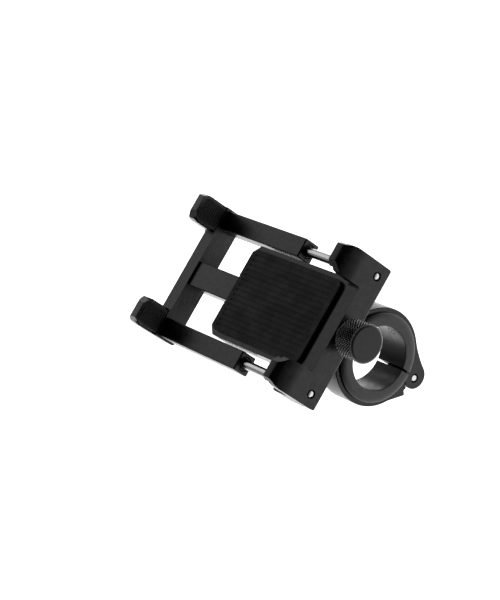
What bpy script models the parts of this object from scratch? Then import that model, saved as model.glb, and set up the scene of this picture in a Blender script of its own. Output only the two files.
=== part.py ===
"""Handlebar phone mount: a hinged clamp ring, a swivelling tray and two screw-driven jaws.

Frame: the origin is the centre of the handlebar bore. +X runs along the handlebar towards
the knob, +Y towards the top of the phone and +Z out of the phone's screen.
Every length below is in millimetres and is scaled to metres when a mesh is made.
"""

import math

import bmesh
import bpy
from mathutils import Matrix, Vector

MM = 0.001
GAP = 0.3  # clearance between pieces that touch on the real object
BORE_GAP = 0.4  # radial clearance round a pin, bolt or spigot in its bore
PAST = 1.0  # how far a cutter runs past the face it opens

# Driving dimensions: handlebar clamp
BAR_R = 11.1  # a 22.2 mm handlebar
SLEEVE_T = 1.9
CLAMP_T = 3.8
CLAMP_HALF_W = 5.25
SHIM_HALF_W = 6.85
FLANGE_R = 15.5
FLANGE_ROUND = 2.2  # radial depth of the rounding at the edge of a flange
FLANGE_DROP = 0.9  # depth of that rounding along the bore
PART_Y = 1.3  # plane in which the two clamp halves meet
PART_GAP = 0.8  # slit left between the halves on the handlebar
PIN_Z = -19.2
PIN_R = 1.2
KNUCKLE_R = 3.5
KNUCKLE_HALF_W = 1.85
LUG_AT = (1.85, -19.1)  # the lug round the pin bulges away from the ring
LUG_R = 4.45
LUG_FILLET_R = 38.0  # hollow between the ring and the lug
TOOTH_TIP = (-5.45, -19.15)
TOOTH_FOOT = (-4.1, -17.9)
ARM_HEEL = (-2.4, -18.6)
TOOTH_ANGLE = -127.0  # where the ring comes out from behind the stop tooth, in degrees
WEB = ((0.0, -15.0), (-4.5, -15.0), (-4.3, -18.0), (-1.2, -21.4))  # joins the knuckle to the ring
EDGE_BREAK = 0.35
EAR_Y = 9.0
EAR_CORNER = 1.5
BLOCK_Y = -10.3
BOLT_Z = 18.0
BOLT_R = 2.0
BOLT_HEAD_R = 3.4
BOLT_REACH = 6.0  # length of bolt past the parting plane
BOLT_HEAD_H = 4.0
HEX_KEY_R = 1.73  # across corners of the key socket, halved
HEX_KEY_DEPTH = 2.0
BOLT_HOLE_SPARE = 1.2  # depth of the tapped hole past the tip of the bolt
WASHER_R = 3.3
WASHER_T = 0.5

# Driving dimensions: tray and jaws
TRAY_Y = -2.3
GLASS_Z = 43.1
PHONE_W = 77.4
PHONE_T = 7.7
FACE_X = 21.2  # outer face of the fixed jaw
JAW_T = 5.7
JAW_BACK_ROUND = 0.8
JAW_HALF_L = 25.7
WINDOW_HALF_L = 15.4
JAW_CORNER = 1.8
WINDOW_CORNER = 0.8
JAW_BACK_Z = GLASS_Z - 17.2
WINDOW_Z = GLASS_Z - 8.5
HORN_TOP_Z = GLASS_Z + 3.5
HORN_ROUND_W = 3.3
HORN_ROUND_H = 8.5
HORN_SWEEP = 76.0  # degrees of that rounding
HORN_TAPER_H = 4.0
HORN_TAPER_IN = 3.0
HORN_TAPER_OUT = 1.5
HORN_BEND_H = 1.8  # height in which a horn eases into its taper
HORN_BEND_IN = 0.4
HORN_BEND_OUT = 0.35
LIP_H = 1.6
LIP_REACH = 0.4
PAD_T = 1.2
PAD_INSET = 0.7  # margin of a pad inside its horn
SCREW_Z = GLASS_Z - 12.5
SCREW_R = 2.0
SCREW_TIP_X = 29.2
COLLAR_R = 2.9  # thrust collar of the drive screw
COLLAR_X0 = 15.8
COLLAR_X1 = 16.8
BUSH_R = 2.9
ROD_Y = 21.5
ROD_R = 1.6
ROD_SPIGOT_R = 1.1
ROD_END_X = -43.3
ROD_BUSH_R = 2.3
ROD_BUSH_L = 6.0
ARM_END_X = -15.9
ARM_HALF_W = 3.5
BLIND_DEPTH = 1.9  # how far the bores run into the sliding jaw's plate
TONGUE_HALF_W = 4.6
BAR_HALF_H = 3.2  # half height of the arms and the tongue
NUT_X0 = -23.5
NUT_X1 = -18.1
NUT_HALF_W = 3.2
NUT_DROP = 2.4
NUT_RISE = 2.8
BASE_HALF_W = 17.2
BASE_END_X = -38.2
BASE_BOTTOM_Z = GLASS_Z - 17.4
BASE_TOP_Z = GLASS_Z - 9.0
CROSSBAR_X = 7.2
BASE_CORNER = 3.0
REST_X0 = -36.3
REST_X1 = 13.2
REST_HALF_W = 15.5
REST_CORNER = 3.0
KNOB_R = 6.6
KNOB_X0 = 24.6
KNOB_X1 = 33.15
KNOB_NECK_R = 4.0
KNOB_NECK_GAP = 1.1  # room for the washer between jaw and neck
THRUST_WASHER_R = 3.8
THRUST_WASHER_T = 0.5
GRUB_X = 27.2
GRUB_R = 1.2
GRUB_REACH = 5.2

# Driving dimensions: swivel between clamp and tray
HUB_NECK_R = 5.5
HUB_FLANGE_R = 10.3
HUB_FLANGE_T = 1.2
RING_R = 16.2
RING_LIP_T = 1.4
RING_SCREW_R = 1.25
RING_SCREW_AT = 13.3  # radius of the circle that the four screws sit on
RING_SCREW_HEAD_R = 2.2
RING_SCREW_HEAD_T = 1.2
RING_SCREW_SINK = 1.6
RING_SCREW_REACH = 3.4  # length of screw inside the tray
RING_SCREW_HOLE = 4.0
RING_KEY_R = 0.9
RING_KEY_DEPTH = 0.8
RING_CHAMFER = 0.6

# Derived sizes
GRIP_X = FACE_X - JAW_T  # face of the fixed pads
SLIDE_GRIP_X = GRIP_X - PHONE_W  # face of the sliding pads
PHONE_BACK_Z = GLASS_Z - PHONE_T
SLEEVE_R = BAR_R + SLEEVE_T
CLAMP_RI = SLEEVE_R + GAP
CLAMP_RO = CLAMP_RI + CLAMP_T
HUB_TOP_Z = BASE_BOTTOM_Z - GAP
RING_LIP_Z = HUB_TOP_Z - HUB_FLANGE_T - GAP - RING_LIP_T
BLOCK_TOP_Z = RING_LIP_Z - GAP
EAR_TOP_Z = BLOCK_TOP_Z - 0.6
SCREW_BORE_R = SCREW_R + GAP
ROD_BORE_R = ROD_R + GAP
UPPER, LOWER = 1, -1

# Material colours: base colour, roughness, metallic
ANODISED = ("black_anodised", (0.022, 0.022, 0.024), 0.42, 0.9)
RUBBER = ("black_rubber", (0.012, 0.012, 0.012), 0.75, 0.0)
NYLON = ("black_nylon", (0.03, 0.03, 0.032), 0.5, 0.0)
STEEL = ("bright_steel", (0.72, 0.72, 0.72), 0.25, 1.0)
BLACK_STEEL = ("black_oxide_steel", (0.02, 0.02, 0.022), 0.4, 0.9)
BRASS = ("brass", (0.72, 0.52, 0.24), 0.3, 1.0)


def clear_scene():
    for old in list(bpy.data.objects):
        bpy.data.objects.remove(old, do_unlink=True)


def material(spec):
    name, colour, roughness, metallic = spec
    mat = bpy.data.materials.get(name)
    if mat:
        return mat
    mat = bpy.data.materials.new(name)
    mat.use_nodes = True
    shader = mat.node_tree.nodes["Principled BSDF"]
    shader.inputs["Base Color"].default_value = (*colour, 1.0)
    shader.inputs["Roughness"].default_value = roughness
    shader.inputs["Metallic"].default_value = metallic
    return mat


def arc(radius, start, end, steps, centre=(0.0, 0.0)):
    """Points of an arc, angles in degrees, both ends included."""
    points = []
    for i in range(steps + 1):
        angle = math.radians(start + (end - start) * i / steps)
        points.append((centre[0] + radius * math.cos(angle), centre[1] + radius * math.sin(angle)))
    return points


def rounded_rectangle(x0, y0, x1, y1, radius, steps=3):
    corners = ((x1 - radius, y1 - radius, 0), (x0 + radius, y1 - radius, 90),
               (x0 + radius, y0 + radius, 180), (x1 - radius, y0 + radius, 270))
    outline = []
    for x, y, start in corners:
        outline += arc(radius, start, start + 90, steps, (x, y))
    return outline


def to_space(axis, point, depth):
    """Place a point of an outline in the plane normal to the axis at the given depth."""
    a, b = point
    if axis == "X":
        return Vector((depth, a, b)) * MM
    if axis == "Y":
        return Vector((a, depth, b)) * MM
    return Vector((a, b, depth)) * MM


def object_from(name, mesh_edit, spec):
    mesh = bpy.data.meshes.new(name)
    bmesh.ops.recalc_face_normals(mesh_edit, faces=mesh_edit.faces)
    mesh_edit.to_mesh(mesh)
    mesh_edit.free()
    mesh.materials.append(material(spec))
    obj = bpy.data.objects.new(name, mesh)
    bpy.context.scene.collection.objects.link(obj)
    return obj


def prism(name, outline, axis, start, end, spec=ANODISED):
    """Extrude a closed outline along an axis."""
    bm = bmesh.new()
    face = bm.faces.new([bm.verts.new(to_space(axis, p, start)) for p in outline])
    grown = bmesh.ops.extrude_face_region(bm, geom=[face])["geom"]
    shift = to_space(axis, (0.0, 0.0), end - start)
    bmesh.ops.translate(bm, verts=[g for g in grown if isinstance(g, bmesh.types.BMVert)], vec=shift)
    return object_from(name, bm, spec)


def block(name, low, high, spec=ANODISED):
    outline = [(low[0], low[1]), (high[0], low[1]), (high[0], high[1]), (low[0], high[1])]
    return prism(name, outline, "Z", low[2], high[2], spec)


def turned(name, profile, axis, centre, steps=32, spec=ANODISED):
    """Turn a closed (radius, depth) profile once round an axis through the centre."""
    bm = bmesh.new()
    spine = {"X": Vector((1, 0, 0)), "Y": Vector((0, 1, 0)), "Z": Vector((0, 0, 1))}[axis]
    side = {"X": Vector((0, 1, 0)), "Y": Vector((0, 0, 1)), "Z": Vector((1, 0, 0))}[axis]
    middle = Vector(centre) * MM
    rings = []
    for i in range(steps):
        turn = Matrix.Rotation(2 * math.pi * i / steps, 3, spine)
        ring = []
        for radius, depth in profile:
            at_axis = radius == 0
            if at_axis and i:
                ring.append(rings[0][len(ring)])
                continue
            ring.append(bm.verts.new(middle + (spine * depth + turn @ side * radius) * MM))
        rings.append(ring)
    count = len(profile)
    for i in range(steps):
        here, there = rings[i], rings[(i + 1) % steps]
        for j in range(count):
            k = (j + 1) % count
            corners = []
            for vert in (here[j], here[k], there[k], there[j]):
                if vert not in corners:
                    corners.append(vert)
            if len(corners) > 2:
                bm.faces.new(corners)
    return object_from(name, bm, spec)


def circle(radius, centre, steps):
    return arc(radius, 0, 360 - 360 / steps, steps - 1, centre)


def rod(name, axis, centre, radius, start, end, steps=24, spec=STEEL):
    """A plain round bar; the depths are measured from the centre along the axis."""
    x, y, z = centre
    across, along = {"X": ((y, z), x), "Y": ((x, z), y), "Z": ((x, y), z)}[axis]
    return prism(name, circle(radius, across, steps), axis, along + start, along + end, spec)


def tube(name, axis, centre, inner, outer, start, end, steps=24, spec=STEEL):
    profile = [(inner, start), (outer, start), (outer, end), (inner, end)]
    return turned(name, profile, axis, centre, steps, spec)


def bake(obj):
    """Keep the evaluated mesh and drop the modifiers."""
    graph = bpy.context.evaluated_depsgraph_get()
    mesh = bpy.data.meshes.new_from_object(obj.evaluated_get(graph))
    obj.modifiers.clear()
    obj.data = mesh


def combine(obj, tools, operation):
    """Cut the object with the tools, or join or trim it to them, then remove the tools."""
    for tool in tools:
        tool.hide_render = True
        tool.display_type = "WIRE"
        step = obj.modifiers.new(operation.lower(), "BOOLEAN")
        step.operation = operation
        step.solver = "EXACT"
        step.object = tool
    bake(obj)
    for tool in tools:
        bpy.data.objects.remove(tool, do_unlink=True)
    return obj


def soften(obj, width, angle=40):
    """Break the sharp edges with a small flat bevel."""
    step = obj.modifiers.new("edge break", "BEVEL")
    step.width = width * MM
    step.segments = 1
    step.limit_method = "ANGLE"
    step.angle_limit = math.radians(angle)
    bake(obj)
    return obj


# ---------------------------------------------------------------- handlebar clamp

def angle_at_y(radius, y):
    """Angle in degrees of the upper point of a circle that has the given y."""
    return math.degrees(math.acos(y / radius))


def swing(point, angle):
    """Where a point in (y, z) goes when the cap has opened by an angle in degrees."""
    turn = math.radians(angle)
    y, z = point[0] - PART_Y, point[1] - PIN_Z
    across, along = math.cos(turn), math.sin(turn)
    return (PART_Y + y * across + z * along, PIN_Z + z * across - y * along)


def swept_lug(radius, steps):
    """Outline in (y, z) round every place the lug takes while the cap swings open."""
    centres = [swing(LUG_AT, opened) for opened in range(0, 91, 15)]
    outline = []
    for i in range(steps):
        y, z = math.cos(2 * math.pi * i / steps), math.sin(2 * math.pi * i / steps)
        centre = max(centres, key=lambda c: c[0] * y + c[1] * z)
        outline.append((centre[0] + radius * y, centre[1] + radius * z))
    return outline


def clamp_arm():
    """Fixed half of the ring, its middle knuckle, its stop tooth and the swivel hub."""
    edge = PART_Y - PART_GAP / 2
    block_angle = angle_at_y(CLAMP_RO, BLOCK_Y) - 360
    inner = angle_at_y(CLAMP_RI, edge)
    outline = [(edge, ARM_HEEL[1]), ARM_HEEL, TOOTH_FOOT, TOOTH_TIP]
    outline += arc(CLAMP_RO, TOOTH_ANGLE, block_angle, 16)
    outline += [(BLOCK_Y, BLOCK_TOP_Z), (edge, BLOCK_TOP_Z)]
    outline += arc(CLAMP_RI, inner, 360 - inner, 28)
    arm = prism("clamp_arm", outline, "X", -CLAMP_HALF_W, CLAMP_HALF_W)
    soften(arm, EDGE_BREAK)
    pin = (0, PART_Y, PIN_Z)
    far = CLAMP_HALF_W + PAST
    clear = swept_lug(LUG_R + GAP, 36)
    combine(arm, [prism("side", clear, "X", s * KNUCKLE_HALF_W, s * far) for s in (1, -1)], "DIFFERENCE")
    knuckle = rod("knuckle", "X", pin, KNUCKLE_R, -KNUCKLE_HALF_W, KNUCKLE_HALF_W, 32)
    web = prism("web", WEB, "X", -KNUCKLE_HALF_W, KNUCKLE_HALF_W)
    axis = (0, TRAY_Y, 0)
    neck_profile = [(0, BLOCK_TOP_Z - GAP), (HUB_NECK_R, BLOCK_TOP_Z - GAP),
                    (HUB_NECK_R, HUB_TOP_Z - HUB_FLANGE_T), (HUB_FLANGE_R, HUB_TOP_Z - HUB_FLANGE_T),
                    (HUB_FLANGE_R, HUB_TOP_Z), (0, HUB_TOP_Z)]
    hub = turned("hub", neck_profile, "Z", axis, 48)
    combine(arm, [knuckle, web, hub], "UNION")
    bores = [rod("bore", "X", pin, PIN_R + BORE_GAP, -far, far)]
    bottom = -BOLT_REACH - BOLT_HOLE_SPARE
    bores.append(rod("bore", "Y", (0, PART_Y, BOLT_Z), BOLT_R + BORE_GAP, bottom, PAST))
    return combine(arm, bores, "DIFFERENCE")


def lug_fillet_centre():
    """Centre of the hollow that touches both the ring and the lug from outside."""
    ring_far, lug_far = CLAMP_RO + LUG_FILLET_R, LUG_R + LUG_FILLET_R
    apart = math.hypot(*LUG_AT)
    along = (ring_far ** 2 - lug_far ** 2 + apart ** 2) / (2 * apart)
    across = math.sqrt(ring_far ** 2 - along ** 2)
    y, z = LUG_AT[0] / apart, LUG_AT[1] / apart
    return (along * y - across * z, along * z + across * y)


def clamp_cap():
    """Swinging half of the ring with two outer knuckles, a hollowed neck and the bolt ear."""
    edge = PART_Y + PART_GAP / 2
    hollow = lug_fillet_centre()
    ring_end = math.degrees(math.atan2(hollow[1], hollow[0]))
    lug_start = math.degrees(math.atan2(hollow[1] - LUG_AT[1], hollow[0] - LUG_AT[0]))
    lug_end = angle_at_y(LUG_R, edge - LUG_AT[0]) - 360
    inner = angle_at_y(CLAMP_RI, edge)
    outline = [(edge, EAR_TOP_Z)]
    outline += arc(EAR_CORNER, 90, 0, 4, (EAR_Y - EAR_CORNER, EAR_TOP_Z - EAR_CORNER))
    outline += arc(CLAMP_RO, angle_at_y(CLAMP_RO, EAR_Y), ring_end, 14)
    outline += arc(LUG_FILLET_R, ring_end + 180, lug_start + 180, 6, hollow)[1:-1]
    outline += arc(LUG_R, lug_start, lug_end, 16, LUG_AT)
    outline += arc(CLAMP_RI, -inner, inner, 26)
    cap = prism("clamp_cap", outline, "X", -CLAMP_HALF_W, CLAMP_HALF_W)
    soften(cap, EDGE_BREAK)
    slot = KNUCKLE_HALF_W + GAP
    cutters = [rod("slot", "X", (0, *LUG_AT), LUG_R + 0.2, -slot, slot, 32)]
    combine(cap, cutters, "DIFFERENCE")
    far = CLAMP_HALF_W + PAST
    bores = [rod("bore", "X", (0, PART_Y, PIN_Z), PIN_R + BORE_GAP, -far, far)]
    bores.append(rod("bore", "Y", (0, PART_Y, BOLT_Z), BOLT_R + GAP, -PAST, EAR_Y + PAST))
    return combine(cap, bores, "DIFFERENCE")


def shim_half(name, side):
    """Half of the flanged liner between the clamp and the handlebar."""
    flange_x = CLAMP_HALF_W + GAP
    rim = [(FLANGE_R, flange_x), (FLANGE_R, SHIM_HALF_W - FLANGE_DROP),
           (FLANGE_R - FLANGE_ROUND / 3, SHIM_HALF_W - FLANGE_DROP / 3),
           (FLANGE_R - FLANGE_ROUND, SHIM_HALF_W)]
    profile = [(BAR_R, -SHIM_HALF_W)] + [(r, -x) for r, x in reversed(rim)]
    profile += [(SLEEVE_R, -flange_x), (SLEEVE_R, flange_x)] + rim + [(BAR_R, SHIM_HALF_W)]
    half = turned(name, profile, "X", (0, 0, 0), 64, NYLON)
    far = FLANGE_R + 2
    near = PART_Y + side * PART_GAP / 2
    keep = block("keep", (-far, min(near, side * far), -far), (far, max(near, side * far), far))
    return combine(half, [keep], "INTERSECT")


def hinge_pin():
    half = CLAMP_HALF_W - 0.1
    return rod("hinge_pin", "X", (0, PART_Y, PIN_Z), PIN_R, -half, half)


def clamp_bolt():
    """Socket-head bolt that pulls the two halves together."""
    tip = PART_Y - BOLT_REACH
    head = EAR_Y + WASHER_T + 2 * GAP
    top = head + BOLT_HEAD_H
    profile = [(0, tip), (BOLT_R, tip), (BOLT_R, head), (BOLT_HEAD_R, head), (BOLT_HEAD_R, top - 0.3),
               (BOLT_HEAD_R - 0.3, top), (0, top)]
    bolt = turned("clamp_bolt", profile, "Y", (0, 0, BOLT_Z), 24, BLACK_STEEL)
    key = prism("key", circle(HEX_KEY_R, (0, BOLT_Z), 6), "Y", top - HEX_KEY_DEPTH, top + PAST)
    return combine(bolt, [key], "DIFFERENCE")


def bolt_washer():
    return tube("bolt_washer", "Y", (0, EAR_Y, BOLT_Z), BOLT_R + GAP, WASHER_R, GAP, GAP + WASHER_T)


# ---------------------------------------------------------------- swivel

def swivel_ring():
    """Stepped ring under the tray that traps the clamp's hub flange and lets it turn."""
    lip_z = RING_LIP_Z
    step_z = lip_z + RING_LIP_T
    inner = HUB_NECK_R + GAP
    pocket = HUB_FLANGE_R + GAP
    profile = [(inner, lip_z), (RING_R - RING_CHAMFER, lip_z), (RING_R, lip_z + RING_CHAMFER),
               (RING_R, HUB_TOP_Z), (pocket, HUB_TOP_Z), (pocket, step_z), (inner, step_z)]
    ring = turned("swivel_ring", profile, "Z", (0, TRAY_Y, 0), 48)
    cutters = []
    for x, y in ring_screw_places():
        centre = (x, y, 0)
        cutters.append(rod("bore", "Z", centre, RING_SCREW_R + GAP, lip_z - PAST, HUB_TOP_Z + PAST, 20))
        sink = lip_z + RING_SCREW_SINK
        cutters.append(rod("sink", "Z", centre, RING_SCREW_HEAD_R + GAP, lip_z - PAST, sink, 20))
    return combine(ring, cutters, "DIFFERENCE")


def ring_screw_places():
    offset = RING_SCREW_AT * math.sqrt(0.5)
    return [(sx * offset, TRAY_Y + sy * offset) for sx in (1, -1) for sy in (1, -1)]


def swivel_screw(name, x, y):
    """Flush socket screw that holds the swivel ring to the tray."""
    face = RING_LIP_Z + 0.1
    seat = face + RING_SCREW_HEAD_T
    tip = BASE_BOTTOM_Z + RING_SCREW_REACH
    profile = [(0, face), (RING_SCREW_HEAD_R, face), (RING_SCREW_HEAD_R, seat), (RING_SCREW_R, seat),
               (RING_SCREW_R, tip), (0, tip)]
    screw = turned(name, profile, "Z", (x, y, 0), 20, STEEL)
    key = prism("key", circle(RING_KEY_R, (x, y), 6), "Z", face - PAST, face + RING_KEY_DEPTH)
    return combine(screw, [key], "DIFFERENCE")


# ---------------------------------------------------------------- tray and fixed jaw

def base_tray():
    """T-shaped tray: a crossbar behind the fixed jaw and a body slotted for the tongue."""
    right = GRIP_X - GAP
    bar = JAW_HALF_L
    chamfer_x, chamfer_y = BASE_END_X + BASE_CORNER, BASE_HALF_W - BASE_CORNER
    outline = [(right, bar), (CROSSBAR_X, bar), (CROSSBAR_X, BASE_HALF_W), (chamfer_x, BASE_HALF_W),
               (BASE_END_X, chamfer_y), (BASE_END_X, -chamfer_y), (chamfer_x, -BASE_HALF_W),
               (CROSSBAR_X, -BASE_HALF_W), (CROSSBAR_X, -bar), (right, -bar)]
    outline = [(x, y + TRAY_Y) for x, y in outline]
    tray = prism("base_tray", outline, "Z", BASE_BOTTOM_Z, BASE_TOP_Z)
    soften(tray, 0.4)
    half = TONGUE_HALF_W + BORE_GAP
    floor = SCREW_Z - BAR_HALF_H - GAP
    cutters = [block("channel", (BASE_END_X - PAST, TRAY_Y - half, floor),
                     (CROSSBAR_X, TRAY_Y + half, BASE_TOP_Z + PAST))]
    start, end = CROSSBAR_X - PAST, right + PAST
    cutters.append(rod("bore", "X", (0, TRAY_Y, SCREW_Z), SCREW_BORE_R, start, end))
    for side in (UPPER, LOWER):
        cutters.append(rod("bore", "X", (0, TRAY_Y + side * ROD_Y, SCREW_Z), ROD_BORE_R, start, end))
    low, high = BASE_BOTTOM_Z - PAST, BASE_BOTTOM_Z + RING_SCREW_HOLE
    for x, y in ring_screw_places():
        cutters.append(rod("bore", "Z", (x, y, 0), RING_SCREW_R + GAP, low, high, 20))
    return combine(tray, cutters, "DIFFERENCE")


def horn_curve(outer, steps=8):
    """Outer top corner of a horn: part of a tall ellipse that stops short of level."""
    points = []
    for i in range(steps + 1):
        angle = math.radians(HORN_SWEEP * i / steps)
        u = outer - HORN_ROUND_W + HORN_ROUND_W * math.cos(angle)
        points.append((u, HORN_TOP_Z - HORN_ROUND_H + HORN_ROUND_H * math.sin(angle)))
    points.append((outer - HORN_ROUND_W, HORN_TOP_Z))
    return points


def jaw_profile(grip_x, outward):
    """Side profile of a jaw in (x, z), hooked at the top and rounded on its outer corner."""
    outer, back = JAW_T, JAW_BACK_ROUND
    ledge_z = PHONE_BACK_Z - GAP
    points = [(0, ledge_z), (0, JAW_BACK_Z)]
    points += arc(back, -90, 0, 3, (outer - back, JAW_BACK_Z + back))
    points += horn_curve(outer)
    points += [(-LIP_REACH, HORN_TOP_Z), (-LIP_REACH, HORN_TOP_Z - LIP_H)]
    points += [(PAD_T + GAP, HORN_TOP_Z - LIP_H), (PAD_T + GAP, ledge_z)]
    return [(grip_x + outward * u, z) for u, z in points]


def jaw_outline():
    """Outline of a jaw in (y, z): a plate with two tapered horns and a window between them."""
    taper_z = HORN_TOP_Z - HORN_TAPER_H
    bend_z = taper_z + HORN_BEND_H
    top_in = WINDOW_HALF_L + HORN_TAPER_IN
    top_out = JAW_HALF_L - HORN_TAPER_OUT
    over = HORN_TOP_Z + 0.5
    half = arc(JAW_CORNER, -90, 0, 3, (JAW_HALF_L - JAW_CORNER, JAW_BACK_Z - 0.3 + JAW_CORNER))
    half += [(JAW_HALF_L, taper_z), (JAW_HALF_L - HORN_BEND_OUT, bend_z), (top_out, HORN_TOP_Z)]
    half += [(top_out, over), (top_in, over), (top_in, HORN_TOP_Z)]
    half += [(WINDOW_HALF_L + HORN_BEND_IN, bend_z), (WINDOW_HALF_L, taper_z)]
    half += arc(WINDOW_CORNER, 0, -90, 3, (WINDOW_HALF_L - WINDOW_CORNER, WINDOW_Z + WINDOW_CORNER))
    mirrored = [(-y, z) for y, z in reversed(half)]
    return [(y + TRAY_Y, z) for y, z in half + mirrored]


def jaw_blank(name, grip_x, outward):
    inner = grip_x - outward * PAST
    outer = grip_x + outward * (JAW_T + PAST)
    plate = prism(name, jaw_profile(grip_x, outward), "Y", TRAY_Y - JAW_HALF_L, TRAY_Y + JAW_HALF_L)
    outline = prism("outline", jaw_outline(), "X", min(inner, outer), max(inner, outer))
    combine(plate, [outline], "INTERSECT")
    return soften(plate, 0.3)


def fixed_jaw():
    """Right-hand jaw plate, bored for the guide rods and the screw bush."""
    jaw = jaw_blank("fixed_jaw", GRIP_X, 1)
    start, end = GRIP_X - PAST, FACE_X + PAST
    cutters = [rod("bore", "X", (0, TRAY_Y, SCREW_Z), BUSH_R + GAP, start, end)]
    for side in (UPPER, LOWER):
        centre = (0, TRAY_Y + side * ROD_Y, SCREW_Z)
        cutters.append(rod("bore", "X", centre, ROD_SPIGOT_R + BORE_GAP, start, end))
    return combine(jaw, cutters, "DIFFERENCE")


def guide_rod(name, side):
    """Rod of the sliding jaw with a thinner spigot that is pressed into the fixed jaw."""
    shoulder = GRIP_X - GAP
    tip = FACE_X - 0.05
    profile = [(0, ROD_END_X), (ROD_R - 0.4, ROD_END_X), (ROD_R, ROD_END_X + 0.4), (ROD_R, shoulder),
               (ROD_SPIGOT_R, shoulder), (ROD_SPIGOT_R, tip), (0, tip)]
    return turned(name, profile, "X", (0, TRAY_Y + side * ROD_Y, SCREW_Z), 24)


def grip_pad(name, grip_x, outward, side):
    """Rubber face of one horn, narrower towards the horn's lip."""
    low, high = PHONE_BACK_Z, HORN_TOP_Z - LIP_H - GAP
    taper_z = HORN_TOP_Z - HORN_TAPER_H
    outer, inner = JAW_HALF_L - PAD_INSET, WINDOW_HALF_L + PAD_INSET
    outline = [(inner, low), (outer, low), (outer, taper_z), (outer - 0.7, high), (inner + 0.8, high),
               (inner, taper_z)]
    outline = [(side * y + TRAY_Y, z) for y, z in outline]
    faces = (grip_x, grip_x + outward * PAD_T)
    return soften(prism(name, outline, "X", min(faces), max(faces), RUBBER), 0.25)


def rest_pad():
    """Soft sheet on the tray under the back of the phone."""
    outline = rounded_rectangle(REST_X0, TRAY_Y - REST_HALF_W, REST_X1, TRAY_Y + REST_HALF_W,
                                REST_CORNER, 4)
    return prism("rest_pad", outline, "Z", BASE_TOP_Z + GAP, PHONE_BACK_Z, RUBBER)


def screw_bush():
    """Brass bearing of the drive screw, flush inside the fixed jaw."""
    start, end = COLLAR_X1 + GAP, FACE_X - GAP
    return tube("screw_bush", "X", (0, TRAY_Y, SCREW_Z), SCREW_BORE_R, BUSH_R, start, end, spec=BRASS)


# ---------------------------------------------------------------- drive screw and knob

def lead_screw():
    """Drive screw with a thrust collar inside the fixed jaw."""
    profile = [(0, ROD_END_X), (SCREW_R, ROD_END_X), (SCREW_R, COLLAR_X0), (COLLAR_R, COLLAR_X0),
               (COLLAR_R, COLLAR_X1), (SCREW_R, COLLAR_X1), (SCREW_R, SCREW_TIP_X), (0, SCREW_TIP_X)]
    return turned("lead_screw", profile, "X", (0, TRAY_Y, SCREW_Z), 24, STEEL)


def thrust_washer():
    centre = (FACE_X, TRAY_Y, SCREW_Z)
    return tube("thrust_washer", "X", centre, SCREW_BORE_R, THRUST_WASHER_R, GAP,
                GAP + THRUST_WASHER_T, spec=NYLON)


def knob():
    """Round knob with a narrow neck, a blind bore for the screw and a groove behind its face."""
    neck_x = FACE_X + KNOB_NECK_GAP
    blind_x = SCREW_TIP_X + GAP
    profile = [(SCREW_BORE_R, neck_x), (KNOB_NECK_R, neck_x), (KNOB_NECK_R, KNOB_X0),
               (KNOB_R - 0.5, KNOB_X0), (KNOB_R, KNOB_X0 + 0.5),
               (KNOB_R, KNOB_X1 - 1.0), (KNOB_R - 0.35, KNOB_X1 - 0.8),
               (KNOB_R - 0.1, KNOB_X1 - 0.5), (KNOB_R - 0.3, KNOB_X1 - 0.15),
               (KNOB_R - 0.6, KNOB_X1), (0, KNOB_X1), (0, blind_x), (SCREW_BORE_R, blind_x)]
    body = turned("knob", profile, "X", (0, TRAY_Y, SCREW_Z), 48)
    hole = rod("hole", "Z", (GRUB_X, TRAY_Y, SCREW_Z), GRUB_R + GAP, -KNOB_R - PAST, -1.0, 16)
    return combine(body, [hole], "DIFFERENCE")


def knob_grub_screw():
    """Set screw that locks the knob to the drive screw from below."""
    centre = (GRUB_X, TRAY_Y, SCREW_Z)
    top = -SCREW_BORE_R - 0.1
    return rod("knob_grub_screw", "Z", centre, GRUB_R, -GRUB_REACH, top, 16, BLACK_STEEL)


# ---------------------------------------------------------------- sliding jaw

def sliding_jaw():
    """Left-hand jaw with two side arms on the guide rods and a tongue for the drive nut."""
    jaw = jaw_blank("sliding_jaw", SLIDE_GRIP_X, -1)
    root = SLIDE_GRIP_X - PAST
    low_z, high_z = SCREW_Z - BAR_HALF_H, SCREW_Z + BAR_HALF_H
    bars = []
    for y, half in ((ROD_Y, ARM_HALF_W), (-ROD_Y, ARM_HALF_W), (0, TONGUE_HALF_W)):
        middle = TRAY_Y + y
        bar = block("bar", (root, middle - half, low_z), (ARM_END_X, middle + half, high_z))
        bars.append(soften(bar, 0.3))
    combine(jaw, bars, "UNION")
    blind = SLIDE_GRIP_X - BLIND_DEPTH
    end = ARM_END_X + PAST
    cutters = [rod("bore", "X", (0, TRAY_Y, SCREW_Z), SCREW_BORE_R, blind, end)]
    for side in (UPPER, LOWER):
        centre = (0, TRAY_Y + side * ROD_Y, SCREW_Z)
        seat = ARM_END_X - ROD_BUSH_L - GAP
        cutters.append(rod("bore", "X", centre, ROD_BORE_R, blind, end))
        cutters.append(rod("sink", "X", centre, ROD_BUSH_R + GAP, seat, end))
    cutters.append(block("pocket", (NUT_X0 - GAP, TRAY_Y - NUT_HALF_W - GAP, SCREW_Z - NUT_DROP - GAP),
                         (NUT_X1 + GAP, TRAY_Y + NUT_HALF_W + GAP, high_z + PAST)))
    return combine(jaw, cutters, "DIFFERENCE")


def drive_nut():
    """Brass nut let into the tongue, where the drive screw pulls on it."""
    low = (NUT_X0, TRAY_Y - NUT_HALF_W, SCREW_Z - NUT_DROP)
    high = (NUT_X1, TRAY_Y + NUT_HALF_W, SCREW_Z + NUT_RISE)
    nut = soften(block("drive_nut", low, high, BRASS), 0.3)
    bore = rod("bore", "X", (0, TRAY_Y, SCREW_Z), SCREW_BORE_R, NUT_X0 - PAST, NUT_X1 + PAST)
    return combine(nut, [bore], "DIFFERENCE")


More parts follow.
